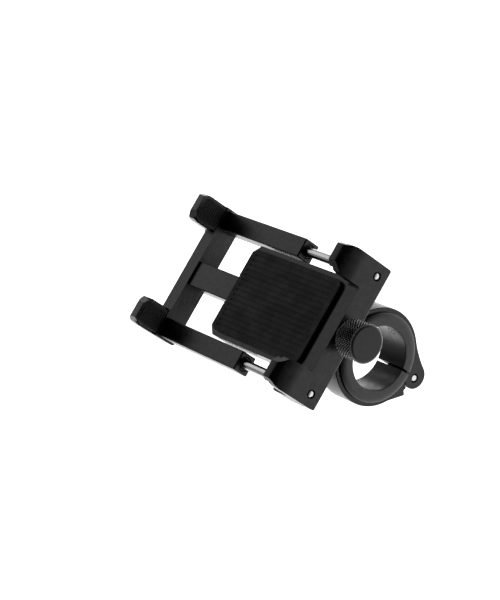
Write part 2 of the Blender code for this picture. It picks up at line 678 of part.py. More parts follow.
def rod_bush(name, side):
    """Plain bearing at the mouth of an arm, running on the guide rod."""
    centre = (ARM_END_X, TRAY_Y + side * ROD_Y, SCREW_Z)
    return tube(name, "X", centre, ROD_BORE_R, ROD_BUSH_R, -ROD_BUSH_L, -0.2, spec=NYLON)


# ---------------------------------------------------------------- assembly

def pivot(name, place, parent=None):
    """Empty on a joint's axis that carries the pieces of one moving body."""
    empty = bpy.data.objects.new(name, None)
    empty.empty_display_size = 5 * MM
    bpy.context.scene.collection.objects.link(empty)
    empty.location = Vector(place) * MM
    if parent:
        empty.parent = parent
        empty.location -= parent.matrix_world.translation
    bpy.context.view_layer.update()
    return empty


def carry(parent, pieces):
    for piece in pieces:
        piece.parent = parent
        piece.matrix_parent_inverse = parent.matrix_world.inverted()


def finish_shading(obj):
    obj.data.shade_smooth()
    obj.data.set_sharp_from_angle(angle=math.radians(30))


def main():
    clear_scene()
    clamp = pivot("clamp", (0, 0, 0))
    carry(clamp, [clamp_arm(), shim_half("shim_half_fixed", -1), hinge_pin()])

    cap = pivot("cap_swing", (0, PART_Y, PIN_Z), clamp)
    carry(cap, [clamp_cap(), shim_half("shim_half_swing", 1), bolt_washer()])
    turn = pivot("bolt_turn", (0, PART_Y, BOLT_Z), cap)
    carry(turn, [clamp_bolt()])

    holder = pivot("holder_swivel", (0, TRAY_Y, HUB_TOP_Z), clamp)
    for number, (x, y) in enumerate(ring_screw_places(), 1):
        carry(holder, [swivel_screw(f"swivel_screw_{number}", x, y)])
    carry(holder, [swivel_ring(), base_tray(), rest_pad(), fixed_jaw(),
                   guide_rod("guide_rod_upper", UPPER), guide_rod("guide_rod_lower", LOWER),
                   screw_bush(), thrust_washer(),
                   grip_pad("fixed_pad_upper", GRIP_X, 1, UPPER),
                   grip_pad("fixed_pad_lower", GRIP_X, 1, LOWER)])

    drive = pivot("knob_spin", (FACE_X, TRAY_Y, SCREW_Z), holder)
    carry(drive, [knob(), lead_screw(), knob_grub_screw()])

    slide = pivot("jaw_slide", (SLIDE_GRIP_X, TRAY_Y, SCREW_Z), holder)
    carry(slide, [sliding_jaw(), drive_nut(), rod_bush("rod_bush_upper", UPPER),
                  rod_bush("rod_bush_lower", LOWER),
                  grip_pad("sliding_pad_upper", SLIDE_GRIP_X, -1, UPPER),
                  grip_pad("sliding_pad_lower", SLIDE_GRIP_X, -1, LOWER)])

    for obj in bpy.data.objects:
        if obj.type == "MESH":
            finish_shading(obj)


main()
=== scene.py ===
"""Looks of the handlebar phone mount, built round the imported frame.

Lengths are in millimetres and are scaled to metres when a mesh is made. The frame is the row's:
+X along the handlebar towards the knob, +Y towards the phone's top, +Z out of its screen.
"""

import math

import bmesh
import bpy
from mathutils import Matrix, Vector


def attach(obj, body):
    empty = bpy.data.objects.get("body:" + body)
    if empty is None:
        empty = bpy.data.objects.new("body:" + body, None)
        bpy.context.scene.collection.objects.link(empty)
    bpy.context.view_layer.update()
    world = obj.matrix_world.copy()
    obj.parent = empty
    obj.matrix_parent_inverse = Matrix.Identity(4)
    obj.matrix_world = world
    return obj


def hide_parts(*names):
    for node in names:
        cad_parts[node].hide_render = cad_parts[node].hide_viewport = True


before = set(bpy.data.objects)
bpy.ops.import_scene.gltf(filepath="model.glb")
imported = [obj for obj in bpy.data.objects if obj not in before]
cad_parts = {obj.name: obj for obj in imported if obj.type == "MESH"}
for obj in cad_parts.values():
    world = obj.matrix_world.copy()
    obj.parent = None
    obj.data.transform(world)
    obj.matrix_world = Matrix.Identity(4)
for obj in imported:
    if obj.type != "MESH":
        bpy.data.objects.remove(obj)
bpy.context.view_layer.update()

MM = 0.001
GAP = 0.3
BORE_GAP = 0.4
PAST = 1.0

# Camera: where it looks, from how far, and its turn about the line of sight
LOOK_AT = Vector((-21.65, -4.37, 37.52)) * MM
CAMERA_AZIMUTH = -7.09
CAMERA_ELEVATION = 37.19
CAMERA_ROLL = -56.19
CAMERA_DISTANCE = 0.680
CAMERA_LENS = 123.04

# Studio
FLOOR_Z = -0.12
FLOOR_HALF = 6.0
FLOOR_GLOW = 1.7
FLOOR_FADE = (0.2, 0.35)  # metres to the +X side over which the lit floor grows dimmer
FLOOR_FAR = 0.3  # glow of the floor past the fade
SKY = 0.4
SKY_DARK = 0.02
DARK_SIDE = Vector((0.42, 0.03, 0.91)).normalized()  # the unlit opening of the light tent
DARK_INNER = 58.0  # degrees from its middle within which it is wholly dark
DARK_OUTER = 88.0  # and where the tent is fully lit again
RIM_AZIMUTH = 165.0
RIM_ELEVATION = 35.0
RIM_DISTANCE = 0.9
RIM_SIZE = (0.7, 0.5)
RIM_POWER = 1.0

# Clamp
BAR_R = 11.1
SLEEVE_R = 13.0
CLAMP_RI = 13.3
CLAMP_RO = 17.1
CLAMP_HALF_W = 5.25
SHIM_HALF_W = 6.85
FLANGE_R = 15.5
FLANGE_ROUND = 2.2  # radial depth of the rounding at the edge of a flange
FLANGE_DROP = 0.9  # depth of that rounding along the bore
MARK_X = 1.7  # mould mark inside the liner
MARK_ANGLE = -16.0
MARK_RING = (1.25, 1.5)
MARK_DOT_R = 0.3
MARK_DEPTH = 0.14
PART_Y = 1.3
PART_GAP = 0.8
PIN_Z = -19.2
PIN_R = 1.2
KNUCKLE_R = 3.5
KNUCKLE_HALF_W = 1.85
LUG_AT = (1.85, -19.1)  # the lug round the pin bulges away from the ring
LUG_R = 4.45
LUG_FILLET_R = 38.0  # hollow between the ring and the lug
TOOTH_TIP = (-5.45, -19.15)
TOOTH_FOOT = (-4.1, -17.9)
ARM_HEEL = (-2.4, -18.6)
TOOTH_ANGLE = -127.0  # where the ring comes out from behind the stop tooth, in degrees
WEB = ((0.0, -15.0), (-4.5, -15.0), (-4.3, -18.0), (-1.2, -21.4))  # joins the knuckle to the ring
EDGE_BREAK = 0.4
EAR_Y = 9.0
EAR_CORNER = 1.5
BLOCK_Y = -10.3
BOLT_Z = 18.0
BOLT_R = 2.0
BOLT_HEAD_R = 3.4
BOLT_HEAD_H = 4.0
BOLT_REACH = 6.0
BOLT_HOLE_SPARE = 1.2
HEX_KEY_R = 1.73
HEX_KEY_DEPTH = 2.0
FLUTES = 32  # round the head of the bolt
FLUTE_R = 0.2
WASHER_R = 3.3
WASHER_T = 0.5

# Tray, jaws and drive
TRAY_Y = -2.3
GLASS_Z = 43.1
PHONE_BACK_Z = GLASS_Z - 7.7
FACE_X = 21.2
JAW_T = 5.7
JAW_BACK_ROUND = 0.8
GRIP_X = FACE_X - JAW_T
SLIDE_GRIP_X = GRIP_X - 77.4
JAW_HALF_L = 25.7
WINDOW_HALF_L = 15.4
JAW_CORNER = 1.8
WINDOW_CORNER = 0.8
JAW_BACK_Z = GLASS_Z - 17.2
WINDOW_Z = GLASS_Z - 8.5
HORN_TOP_Z = GLASS_Z + 3.5
HORN_ROUND_W = 3.3
HORN_ROUND_H = 8.5
HORN_SWEEP = 76.0  # degrees of that rounding
HORN_TAPER_H = 4.0
HORN_TAPER_IN = 3.0
HORN_TAPER_OUT = 1.5
HORN_BEND_H = 1.8  # height in which a horn eases into its taper
HORN_BEND_IN = 0.4
HORN_BEND_OUT = 0.35
LIP_H = 1.6
LIP_REACH = 0.4
PAD_T = 1.2
PAD_INSET = 0.7  # margin of a pad inside its horn
RIB_PITCH = 0.95
RIB_GROOVE_R = 0.3
RIB_GROOVE_OUT = 0.12  # how far outside the pad's face the groove's centre lies
RIB_MARGIN = 0.9
SCREW_Z = GLASS_Z - 12.5
SCREW_R = 2.0
SCREW_BORE_R = SCREW_R + GAP
SCREW_TIP_X = 29.2
COLLAR_R = 2.9
COLLAR_X0 = 15.8
COLLAR_X1 = 16.8
BUSH_R = 2.9
ROD_Y = 21.5
ROD_R = 1.6
ROD_SPIGOT_R = 1.1
ROD_END_X = -43.3
ROD_BORE_R = ROD_R + GAP
ROD_BUSH_R = 2.3
ROD_BUSH_L = 6.0
ARM_END_X = -15.9
ARM_HALF_W = 3.5
BLIND_DEPTH = 1.9  # how far the bores run into the sliding jaw's plate
TONGUE_HALF_W = 4.6
BAR_HALF_H = 3.2
NUT_X0 = -23.5
NUT_X1 = -18.1
NUT_HALF_W = 3.2
NUT_DROP = 2.4
NUT_RISE = 2.8
BASE_HALF_W = 17.2
BASE_END_X = -38.2
BASE_BOTTOM_Z = GLASS_Z - 17.4
BASE_TOP_Z = GLASS_Z - 9.0
CROSSBAR_X = 7.2
BASE_CORNER = 3.0
REST_X0 = -36.3
REST_X1 = 13.2
REST_HALF_W = 15.5
REST_CORNER = 3.0
REST_MARGIN = 2.2  # plain rim of the sheet outside its grooves
REST_PITCH = 1.9
REST_GROOVE_R = 0.5
REST_GROOVE_RISE = 0.28  # how far above the sheet the groove's centre lies
KNOB_R = 6.6
KNOB_X0 = 24.6
KNOB_X1 = 33.15
KNOB_NECK_R = 4.0
KNOB_NECK_GAP = 1.1  # room for the washer between jaw and neck
KNOB_EDGE = 0.55  # how far the plain parts of the knob lie below the tops of its knurl
KNURL_DEPTH = 0.5
KNURL_AROUND = 36
KNURL_PITCH = 1.15
KNURL_STEPS = 288
THRUST_WASHER_R = 3.8
THRUST_WASHER_T = 0.5
GRUB_X = 27.2
GRUB_R = 1.2
GRUB_REACH = 5.2
GRUB_KEY_R = 0.72

# Threads: pitch and depth
COARSE_THREAD = (0.7, 0.38)
FINE_THREAD = (0.45, 0.24)
GRUB_THREAD = (0.45, 0.22)

# Swivel
HUB_NECK_R = 5.5
HUB_FLANGE_R = 10.3
HUB_FLANGE_T = 1.2
HUB_TOP_Z = BASE_BOTTOM_Z - GAP
RING_R = 16.2
RING_LIP_T = 1.4
RING_LIP_Z = HUB_TOP_Z - HUB_FLANGE_T - GAP - RING_LIP_T
BLOCK_TOP_Z = RING_LIP_Z - GAP
EAR_TOP_Z = BLOCK_TOP_Z - 0.6
RING_SCREW_R = 1.25
RING_SCREW_AT = 13.3
RING_SCREW_HEAD_R = 2.2
RING_SCREW_HEAD_T = 1.2
RING_SCREW_SINK = 1.6
RING_SCREW_REACH = 3.4  # length of screw inside the tray
RING_SCREW_HOLE = 4.0
RING_KEY_R = 0.9
RING_KEY_DEPTH = 0.8
RING_ROUND = 0.7
UPPER, LOWER = 1, -1

AXES = {"X": Vector((1, 0, 0)), "Y": Vector((0, 1, 0)), "Z": Vector((0, 0, 1))}
SIDES = {"X": Vector((0, 1, 0)), "Y": Vector((0, 0, 1)), "Z": Vector((1, 0, 0))}


# ---------------------------------------------------------------- camera and studio

def direction(azimuth, elevation):
    a, e = math.radians(azimuth), math.radians(elevation)
    return Vector((math.cos(e) * math.cos(a), math.cos(e) * math.sin(a), math.sin(e)))


def make_camera():
    data = bpy.data.cameras.new("camera")
    data.lens = CAMERA_LENS
    data.clip_start = 0.01
    data.clip_end = 50
    camera = bpy.data.objects.new("camera", data)
    bpy.context.scene.collection.objects.link(camera)
    back = direction(CAMERA_AZIMUTH, CAMERA_ELEVATION)
    right = Vector((0, 0, 1)).cross(back).normalized()
    up = back.cross(right)
    turn = Matrix.Rotation(math.radians(CAMERA_ROLL), 3, back)
    axes = Matrix((turn @ right, turn @ up, back)).transposed()
    camera.matrix_world = Matrix.Translation(LOOK_AT + back * CAMERA_DISTANCE) @ axes.to_4x4()
    bpy.context.scene.camera = camera


def softbox(name, azimuth, elevation, distance, size, power):
    data = bpy.data.lights.new(name, "AREA")
    data.shape = "RECTANGLE"
    data.size, data.size_y = size
    data.energy = power
    light = bpy.data.objects.new(name, data)
    bpy.context.scene.collection.objects.link(light)
    away = direction(azimuth, elevation)
    light.location = away * distance
    light.rotation_euler = away.to_track_quat("Z", "Y").to_euler()


def make_sky():
    """A white light tent with one dark opening."""
    world = bpy.data.worlds.new("studio")
    bpy.context.scene.world = world
    world.use_nodes = True
    tree = world.node_tree
    background = tree.nodes["Background"]
    background.inputs["Color"].default_value = (1, 1, 1, 1)
    where = tree.nodes.new("ShaderNodeTexCoord")
    facing = add(tree, "ShaderNodeVectorMath", {"operation": "DOT_PRODUCT"},
                 {0: where.outputs["Generated"], 1: tuple(DARK_SIDE)})
    level = add(tree, "ShaderNodeMapRange", {"interpolation_type": "SMOOTHSTEP"},
                {"Value": facing.outputs["Value"],
                 "From Min": math.cos(math.radians(DARK_OUTER)),
                 "From Max": math.cos(math.radians(DARK_INNER)),
                 "To Min": SKY, "To Max": SKY_DARK})
    tree.links.new(level.outputs["Result"], background.inputs["Strength"])


def make_floor():
    bm = bmesh.new()
    bmesh.ops.create_grid(bm, x_segments=1, y_segments=1, size=FLOOR_HALF)
    mesh = bpy.data.meshes.new("floor")
    bm.to_mesh(mesh)
    bm.free()
    floor = bpy.data.objects.new("floor", mesh)
    floor.location.z = FLOOR_Z
    bpy.context.scene.collection.objects.link(floor)
    pale = bpy.data.materials.new("pale_floor")
    pale.use_nodes = True
    tree = pale.node_tree
    shader = tree.nodes["Principled BSDF"]
    shader.inputs["Base Color"].default_value = (0.9, 0.9, 0.9, 1)
    shader.inputs["Roughness"].default_value = 0.9
    shader.inputs["Emission Color"].default_value = (1, 1, 1, 1)
    place = tree.nodes.new("ShaderNodeTexCoord").outputs["Object"]
    along = add(tree, "ShaderNodeSeparateXYZ", None, {"Vector": place}).outputs["X"]
    glow = spread(tree, along, *FLOOR_FADE, FLOOR_GLOW, FLOOR_FAR)
    tree.links.new(glow, shader.inputs["Emission Strength"])
    mesh.materials.append(pale)


def make_studio():
    bpy.context.scene.view_settings.view_transform = "Standard"
    make_sky()
    make_floor()
    softbox("rim_light", RIM_AZIMUTH, RIM_ELEVATION, RIM_DISTANCE, RIM_SIZE, RIM_POWER)


# ---------------------------------------------------------------- material building

def add(tree, kind, settings=None, inputs=None):
    """Add a node; an input value that is a socket is linked, any other is set."""
    made = tree.nodes.new(kind)
    for key, value in (settings or {}).items():
        setattr(made, key, value)
    for key, value in (inputs or {}).items():
        if isinstance(value, bpy.types.NodeSocket):
            tree.links.new(value, made.inputs[key])
        else:
            made.inputs[key].default_value = value
    return made


def noise(tree, place, scale, detail=4.0, roughness=0.6, stretch=None):
    if stretch:
        place = add(tree, "ShaderNodeMapping", None, {"Vector": place, "Scale": stretch}).outputs["Vector"]
    made = add(tree, "ShaderNodeTexNoise", None,
               {"Vector": place, "Scale": scale, "Detail": detail, "Roughness": roughness})
    return made.outputs["Fac"]


def spread(tree, value, low, high, to_low, to_high):
    made = add(tree, "ShaderNodeMapRange", {"interpolation_type": "SMOOTHSTEP"},
               {"Value": value, "From Min": low, "From Max": high, "To Min": to_low, "To Max": to_high})
    return made.outputs["Result"]


def calc(tree, operation, a, b=0.0):
    return add(tree, "ShaderNodeMath", {"operation": operation}, {0: a, 1: b}).outputs["Value"]


def blend_colour(tree, factor, a, b):
    made = add(tree, "ShaderNodeMix", {"data_type": "RGBA"}, {"Factor": factor})
    colours = [s for s in made.inputs if s.type == "RGBA"]
    for socket, value in zip(colours, (a, b)):
        if isinstance(value, bpy.types.NodeSocket):
            tree.links.new(value, socket)
        else:
            socket.default_value = (*value, 1.0)
    return [s for s in made.outputs if s.type == "RGBA"][0]


def start_material(name, metallic=0.0, ior=1.5):
    mat = bpy.data.materials.new(name)
    mat.use_nodes = True
    tree = mat.node_tree
    shader = tree.nodes["Principled BSDF"]
    shader.inputs["Metallic"].default_value = metallic
    shader.inputs["IOR"].default_value = ior
    place = tree.nodes.new("ShaderNodeTexCoord").outputs["Object"]
    return mat, tree, shader, place


def edge_mask(tree, place, low=0.53, high=0.6):
    """Exposed edges, broken up so that wear comes in patches."""
    sharp = tree.nodes.new("ShaderNodeNewGeometry").outputs["Pointiness"]
    edges = spread(tree, sharp, low, high, 0.0, 1.0)
    patches = spread(tree, noise(tree, place, 420, 6), 0.42, 0.62, 0.15, 1.0)
    return calc(tree, "MULTIPLY", edges, patches)


def bump(tree, shader, layers):
    """Chain height layers, each (height socket, strength, depth in mm), into the shader's normal."""
    normal = None
    for height, strength, depth in layers:
        inputs = {"Height": height, "Strength": strength, "Distance": depth * MM}
        if normal:
            inputs["Normal"] = normal
        normal = add(tree, "ShaderNodeBump", None, inputs).outputs["Normal"]
    tree.links.new(normal, shader.inputs["Normal"])


def radius_from(tree, place, axis, centre):
    """Distance from a line along an axis, for marks left by turning."""
    shifted = add(tree, "ShaderNodeVectorMath", {"operation": "SUBTRACT"},
                  {0: place, 1: tuple(c * MM for c in centre)}).outputs["Vector"]
    flat = tuple(0.0 if name == axis else 1.0 for name in "XYZ")
    across = add(tree, "ShaderNodeVectorMath", {"operation": "MULTIPLY"}, {0: shifted, 1: flat})
    return add(tree, "ShaderNodeVectorMath", {"operation": "LENGTH"},
               {0: across.outputs["Vector"]}).outputs["Value"]


def turned_rings(tree, distance, pitch):
    """Fine uneven rings at a given pitch in mm."""
    count = calc(tree, "MULTIPLY", distance, 1.0 / (pitch * MM))
    line = add(tree, "ShaderNodeCombineXYZ", None, {"X": count})
    return add(tree, "ShaderNodeTexNoise", None,
               {"Vector": line.outputs["Vector"], "Scale": 1.0, "Detail": 2.0}).outputs["Fac"]


def anodised(name="black_anodised", turn=None, knurl=None):
    """Blasted and black-anodised aluminium; turn=(axis, centre) adds lathe rings.

    Outside the knurl's radius from that axis the surface is cut bright and its ridges are rubbed bare; their
    pale colour is partly that wear and partly a painted highlight."""
    mat, tree, shader, place = start_material(name, 0.0, 1.33)
    broad = noise(tree, place, 60, 3)
    cloth = noise(tree, place, 700, 5)
    base = blend_colour(tree, spread(tree, broad, 0.35, 0.65, 0.0, 1.0),
                        (0.0028, 0.0028, 0.0031), (0.0048, 0.0048, 0.0052))
    worn = edge_mask(tree, place)
    colour = blend_colour(tree, calc(tree, "MULTIPLY", worn, 0.3), base, (0.045, 0.045, 0.047))
    rough = spread(tree, cloth, 0.3, 0.7, 0.25, 0.34)
    grain = noise(tree, place, 5200, 3, 0.7)
    layers = [(grain, 0.1, 0.03), (noise(tree, place, 900, 3), 0.05, 0.05)]
    if turn:
        distance = radius_from(tree, place, *turn)
        layers.append((turned_rings(tree, distance, 0.16), 0.16, 0.02))
    if knurl:
        cut = spread(tree, distance, knurl * MM, (knurl + 0.05) * MM, 0.0, 1.0)
        sharp = tree.nodes.new("ShaderNodeNewGeometry").outputs["Pointiness"]
        ridge = spread(tree, sharp, 0.5, 0.58, 0.0, 1.0)
        # Knurl ridge tops lightened: partly rubbed-bare wear, partly a painted highlight standing in for
        # glints on the ridges.
        rubbed_and_highlight = calc(tree, "MULTIPLY", calc(tree, "MULTIPLY", cut, ridge), 0.9)
        colour = blend_colour(tree, rubbed_and_highlight, colour, (0.3, 0.3, 0.31))
        rough = calc(tree, "SUBTRACT", rough, calc(tree, "MULTIPLY", cut, 0.05))
        tree.links.new(spread(tree, cut, 0.0, 1.0, 0.5, 0.7), shader.inputs["Specular IOR Level"])
    tree.links.new(colour, shader.inputs["Base Color"])
    tree.links.new(rough, shader.inputs["Roughness"])
    bump(tree, shader, layers)
    return mat


def rubber(name, low, high):
    """Black rubber whose grey runs from low to high."""
    mat, tree, shader, place = start_material(name, 0.0, 1.5)
    shader.inputs["Specular IOR Level"].default_value = 0.35
    soft = noise(tree, place, 160, 4)
    base = blend_colour(tree, soft, (low, low, low), (high, high, high))
    dust = spread(tree, noise(tree, place, 520, 8, 0.75), 0.58, 0.78, 0.0, 0.35)
    tree.links.new(blend_colour(tree, dust, base, (0.045, 0.044, 0.042)), shader.inputs["Base Color"])
    tree.links.new(spread(tree, soft, 0.3, 0.7, 0.66, 0.84), shader.inputs["Roughness"])
    bump(tree, shader, [(noise(tree, place, 4200, 3), 0.3, 0.03), (noise(tree, place, 600, 4), 0.12, 0.06)])
    return mat


def moulded(name, low, high, coarse, bore=None):
    """Moulded plastic; within the bore's radius it is smooth, where it was cored."""
    mat, tree, shader, place = start_material(name, 0.0, 1.42)
    flow = noise(tree, place, 110, 4, 0.6, (0.35, 1.0, 1.0))
    tree.links.new(blend_colour(tree, flow, low, high), shader.inputs["Base Color"])
    rough = spread(tree, noise(tree, place, 500, 5), 0.3, 0.7, coarse - 0.05, coarse + 0.06)
    texture = 0.1
    if bore:
        distance = radius_from(tree, place, "X", (0, 0, 0))
        outside = spread(tree, distance, (bore + 0.05) * MM, (bore + 0.35) * MM, 0.0, 1.0)
        rough = calc(tree, "SUBTRACT", rough, spread(tree, outside, 0.0, 1.0, coarse - 0.33, 0.0))
        texture = calc(tree, "MULTIPLY", outside, 0.1)
    tree.links.new(rough, shader.inputs["Roughness"])
    bump(tree, shader, [(noise(tree, place, 2400, 2), texture, 0.02),
                        (noise(tree, place, 240, 3), 0.04, 0.08)])
    return mat


def metal(name, low, high, rough_low, rough_high, turn=None, grime=(0.2, 0.2, 0.2)):
    """Bare metal with drawing marks or lathe rings and a little dirt in its hollows."""
    mat, tree, shader, place = start_material(name, 1.0, 1.5)
    streak = noise(tree, place, 900, 5, 0.6, (0.05, 1.0, 1.0))
    base = blend_colour(tree, streak, low, high)
    hollow = tree.nodes.new("ShaderNodeNewGeometry").outputs["Pointiness"]
    dirt = calc(tree, "MULTIPLY", spread(tree, hollow, 0.4, 0.49, 0.8, 0.0),
                spread(tree, noise(tree, place, 800, 4), 0.35, 0.6, 0.3, 1.0))
    tree.links.new(blend_colour(tree, dirt, base, grime), shader.inputs["Base Color"])
    tree.links.new(spread(tree, streak, 0.3, 0.7, rough_low, rough_high), shader.inputs["Roughness"])
    layers = [(streak, 0.05, 0.02)]
    if turn:
        layers.append((turned_rings(tree, radius_from(tree, place, *turn), 0.12), 0.15, 0.01))
    bump(tree, shader, layers)
    return mat


def black_oxide():
    mat, tree, shader, place = start_material("black_oxide_steel", 0.5, 1.6)
    patch = noise(tree, place, 380, 5)
    base = blend_colour(tree, patch, (0.012, 0.012, 0.014), (0.03, 0.029, 0.03))
    worn = calc(tree, "MULTIPLY", edge_mask(tree, place), 0.6)
    tree.links.new(blend_colour(tree, worn, base, (0.16, 0.155, 0.15)), shader.inputs["Base Color"])
    tree.links.new(spread(tree, patch, 0.3, 0.7, 0.28, 0.42), shader.inputs["Roughness"])
    bump(tree, shader, [(noise(tree, place, 3000, 3), 0.12, 0.02)])
    return mat


# ---------------------------------------------------------------- mesh building

def arc(radius, start, end, steps, centre=(0.0, 0.0)):
    """Points of an arc, angles in degrees, both ends included."""
    points = []
    for i in range(steps + 1):
        angle = math.radians(start + (end - start) * i / steps)
        points.append((centre[0] + radius * math.cos(angle), centre[1] + radius * math.sin(angle)))
    return points


def circle(radius, centre, steps):
    return arc(radius, 0, 360 - 360 / steps, steps - 1, centre)


def rounded_rectangle(x0, y0, x1, y1, radius, steps=8):
    corners = ((x1 - radius, y1 - radius, 0), (x0 + radius, y1 - radius, 90),
               (x0 + radius, y0 + radius, 180), (x1 - radius, y0 + radius, 270))
    outline = []
    for x, y, start in corners:
        outline += arc(radius, start, start + 90, steps, (x, y))
    return outline


def to_space(axis, point, depth):
    a, b = point
    if axis == "X":
        return Vector((depth, a, b)) * MM
    if axis == "Y":
        return Vector((a, depth, b)) * MM
    return Vector((a, b, depth)) * MM


def object_from(name, bm):
    mesh = bpy.data.meshes.new(name)
    bmesh.ops.recalc_face_normals(bm, faces=bm.faces)
    bm.to_mesh(mesh)
    bm.free()
    obj = bpy.data.objects.new(name, mesh)
    bpy.context.scene.collection.objects.link(obj)
    return obj


def prism(name, outline, axis, start, end):
    bm = bmesh.new()
    face = bm.faces.new([bm.verts.new(to_space(axis, p, start)) for p in outline])
    grown = bmesh.ops.extrude_face_region(bm, geom=[face])["geom"]
    shift = to_space(axis, (0.0, 0.0), end - start)
    bmesh.ops.translate(bm, verts=[g for g in grown if isinstance(g, bmesh.types.BMVert)], vec=shift)
    return object_from(name, bm)


def block(name, low, high):
    outline = [(low[0], low[1]), (high[0], low[1]), (high[0], high[1]), (low[0], high[1])]
    return prism(name, outline, "Z", low[2], high[2])


def turned(name, profile, axis, centre, steps=96):
    """Turn a closed (radius, depth) profile once round an axis through the centre."""
    bm = bmesh.new()
    spine, side = AXES[axis], SIDES[axis]
    middle = Vector(centre) * MM
    rings = []
    for i in range(steps):
        turn = Matrix.Rotation(2 * math.pi * i / steps, 3, spine)
        ring = []
        for radius, depth in profile:
            if radius == 0 and i:
                ring.append(rings[0][len(ring)])
                continue
            ring.append(bm.verts.new(middle + (spine * depth + turn @ side * radius) * MM))
        rings.append(ring)
    count = len(profile)
    for i in range(steps):
        here, there = rings[i], rings[(i + 1) % steps]
        for j in range(count):
            k = (j + 1) % count
            corners = []
            for vert in (here[j], here[k], there[k], there[j]):
                if vert not in corners:
                    corners.append(vert)
            if len(corners) > 2:
                bm.faces.new(corners)
    return object_from(name, bm)


def turned_surface(name, rows, axis, centre, steps):
    """Turn a run of rows, each (depth, radius at angle), and close both ends with flat discs."""
    bm = bmesh.new()
    spine, side = AXES[axis], SIDES[axis]
    middle = Vector(centre) * MM
    turns = [Matrix.Rotation(2 * math.pi * i / steps, 3, spine) @ side for i in range(steps)]
    rings = []
    for depth, radius_at in rows:
        ring = []
        for i, out in enumerate(turns):
            ring.append(bm.verts.new(middle + (spine * depth + out * radius_at(i / steps)) * MM))
        rings.append(ring)
    for low, high in zip(rings, rings[1:]):
        for i in range(steps):
            j = (i + 1) % steps
            bm.faces.new((low[i], high[i], high[j], low[j]))
    bm.faces.new(list(reversed(rings[0])))
    bm.faces.new(rings[-1])
    return object_from(name, bm)


def rod(name, axis, centre, radius, start, end, steps=64):
    x, y, z = centre
    across, along = {"X": ((y, z), x), "Y": ((x, z), y), "Z": ((x, y), z)}[axis]
    return prism(name, circle(radius, across, steps), axis, along + start, along + end)


def tube(name, axis, centre, inner, outer, start, end, chamfer=0.15, steps=64):
    profile = [(inner, start + chamfer), (inner + chamfer, start), (outer - chamfer, start),
               (outer, start + chamfer), (outer, end - chamfer), (outer - chamfer, end),
               (inner + chamfer, end), (inner, end - chamfer)]
    return turned(name, profile, axis, centre, steps)


def countersink(axis, centre, radius, face, outward, width=0.25, steps=64):
    """Cutter for a chamfer round the mouth of a bore."""
    flare = radius + width + 0.5
    profile = [(0, face - outward * (width + radius)), (radius + width, face), (flare, face + outward * 0.5),
               (0, face + outward * 0.5)]
    return turned("sink", profile, axis, centre, steps)


def bake(obj):
    graph = bpy.context.evaluated_depsgraph_get()
    mesh = bpy.data.meshes.new_from_object(obj.evaluated_get(graph))
    obj.modifiers.clear()
    obj.data = mesh


def combine(obj, tools, operation):
    for tool in tools:
        tool.hide_render = True
        step = obj.modifiers.new(operation.lower(), "BOOLEAN")
        step.operation = operation
        step.solver = "EXACT"
        step.object = tool
    bake(obj)
    for tool in tools:
        bpy.data.objects.remove(tool, do_unlink=True)
    return obj


def soften(obj, width, angle=35, segments=3):
    step = obj.modifiers.new("edge break", "BEVEL")
    step.width = width * MM
    step.segments = segments
    step.limit_method = "ANGLE"
    step.angle_limit = math.radians(angle)
    bake(obj)
    return obj


def smooth(obj, angle=30):
    obj.data.shade_smooth()
    obj.data.set_sharp_from_angle(angle=math.radians(angle))
    step = obj.modifiers.new("even shading", "WEIGHTED_NORMAL")
    step.keep_sharp = True
    bake(obj)
    return obj


# ---------------------------------------------------------------- clamp

def angle_at_y(radius, y):
    return math.degrees(math.acos(y / radius))


def swing(point, angle):
    """Where a point in (y, z) goes when the cap has opened by an angle in degrees."""
    turn = math.radians(angle)
    y, z = point[0] - PART_Y, point[1] - PIN_Z
    across, along = math.cos(turn), math.sin(turn)
    return (PART_Y + y * across + z * along, PIN_Z + z * across - y * along)


def swept_lug(radius, steps):
    """Outline in (y, z) round every place the lug takes while the cap swings open."""
    centres = [swing(LUG_AT, opened) for opened in range(0, 91, 15)]
    outline = []
    for i in range(steps):
        y, z = math.cos(2 * math.pi * i / steps), math.sin(2 * math.pi * i / steps)
        centre = max(centres, key=lambda c: c[0] * y + c[1] * z)
        outline.append((centre[0] + radius * y, centre[1] + radius * z))
    return outline


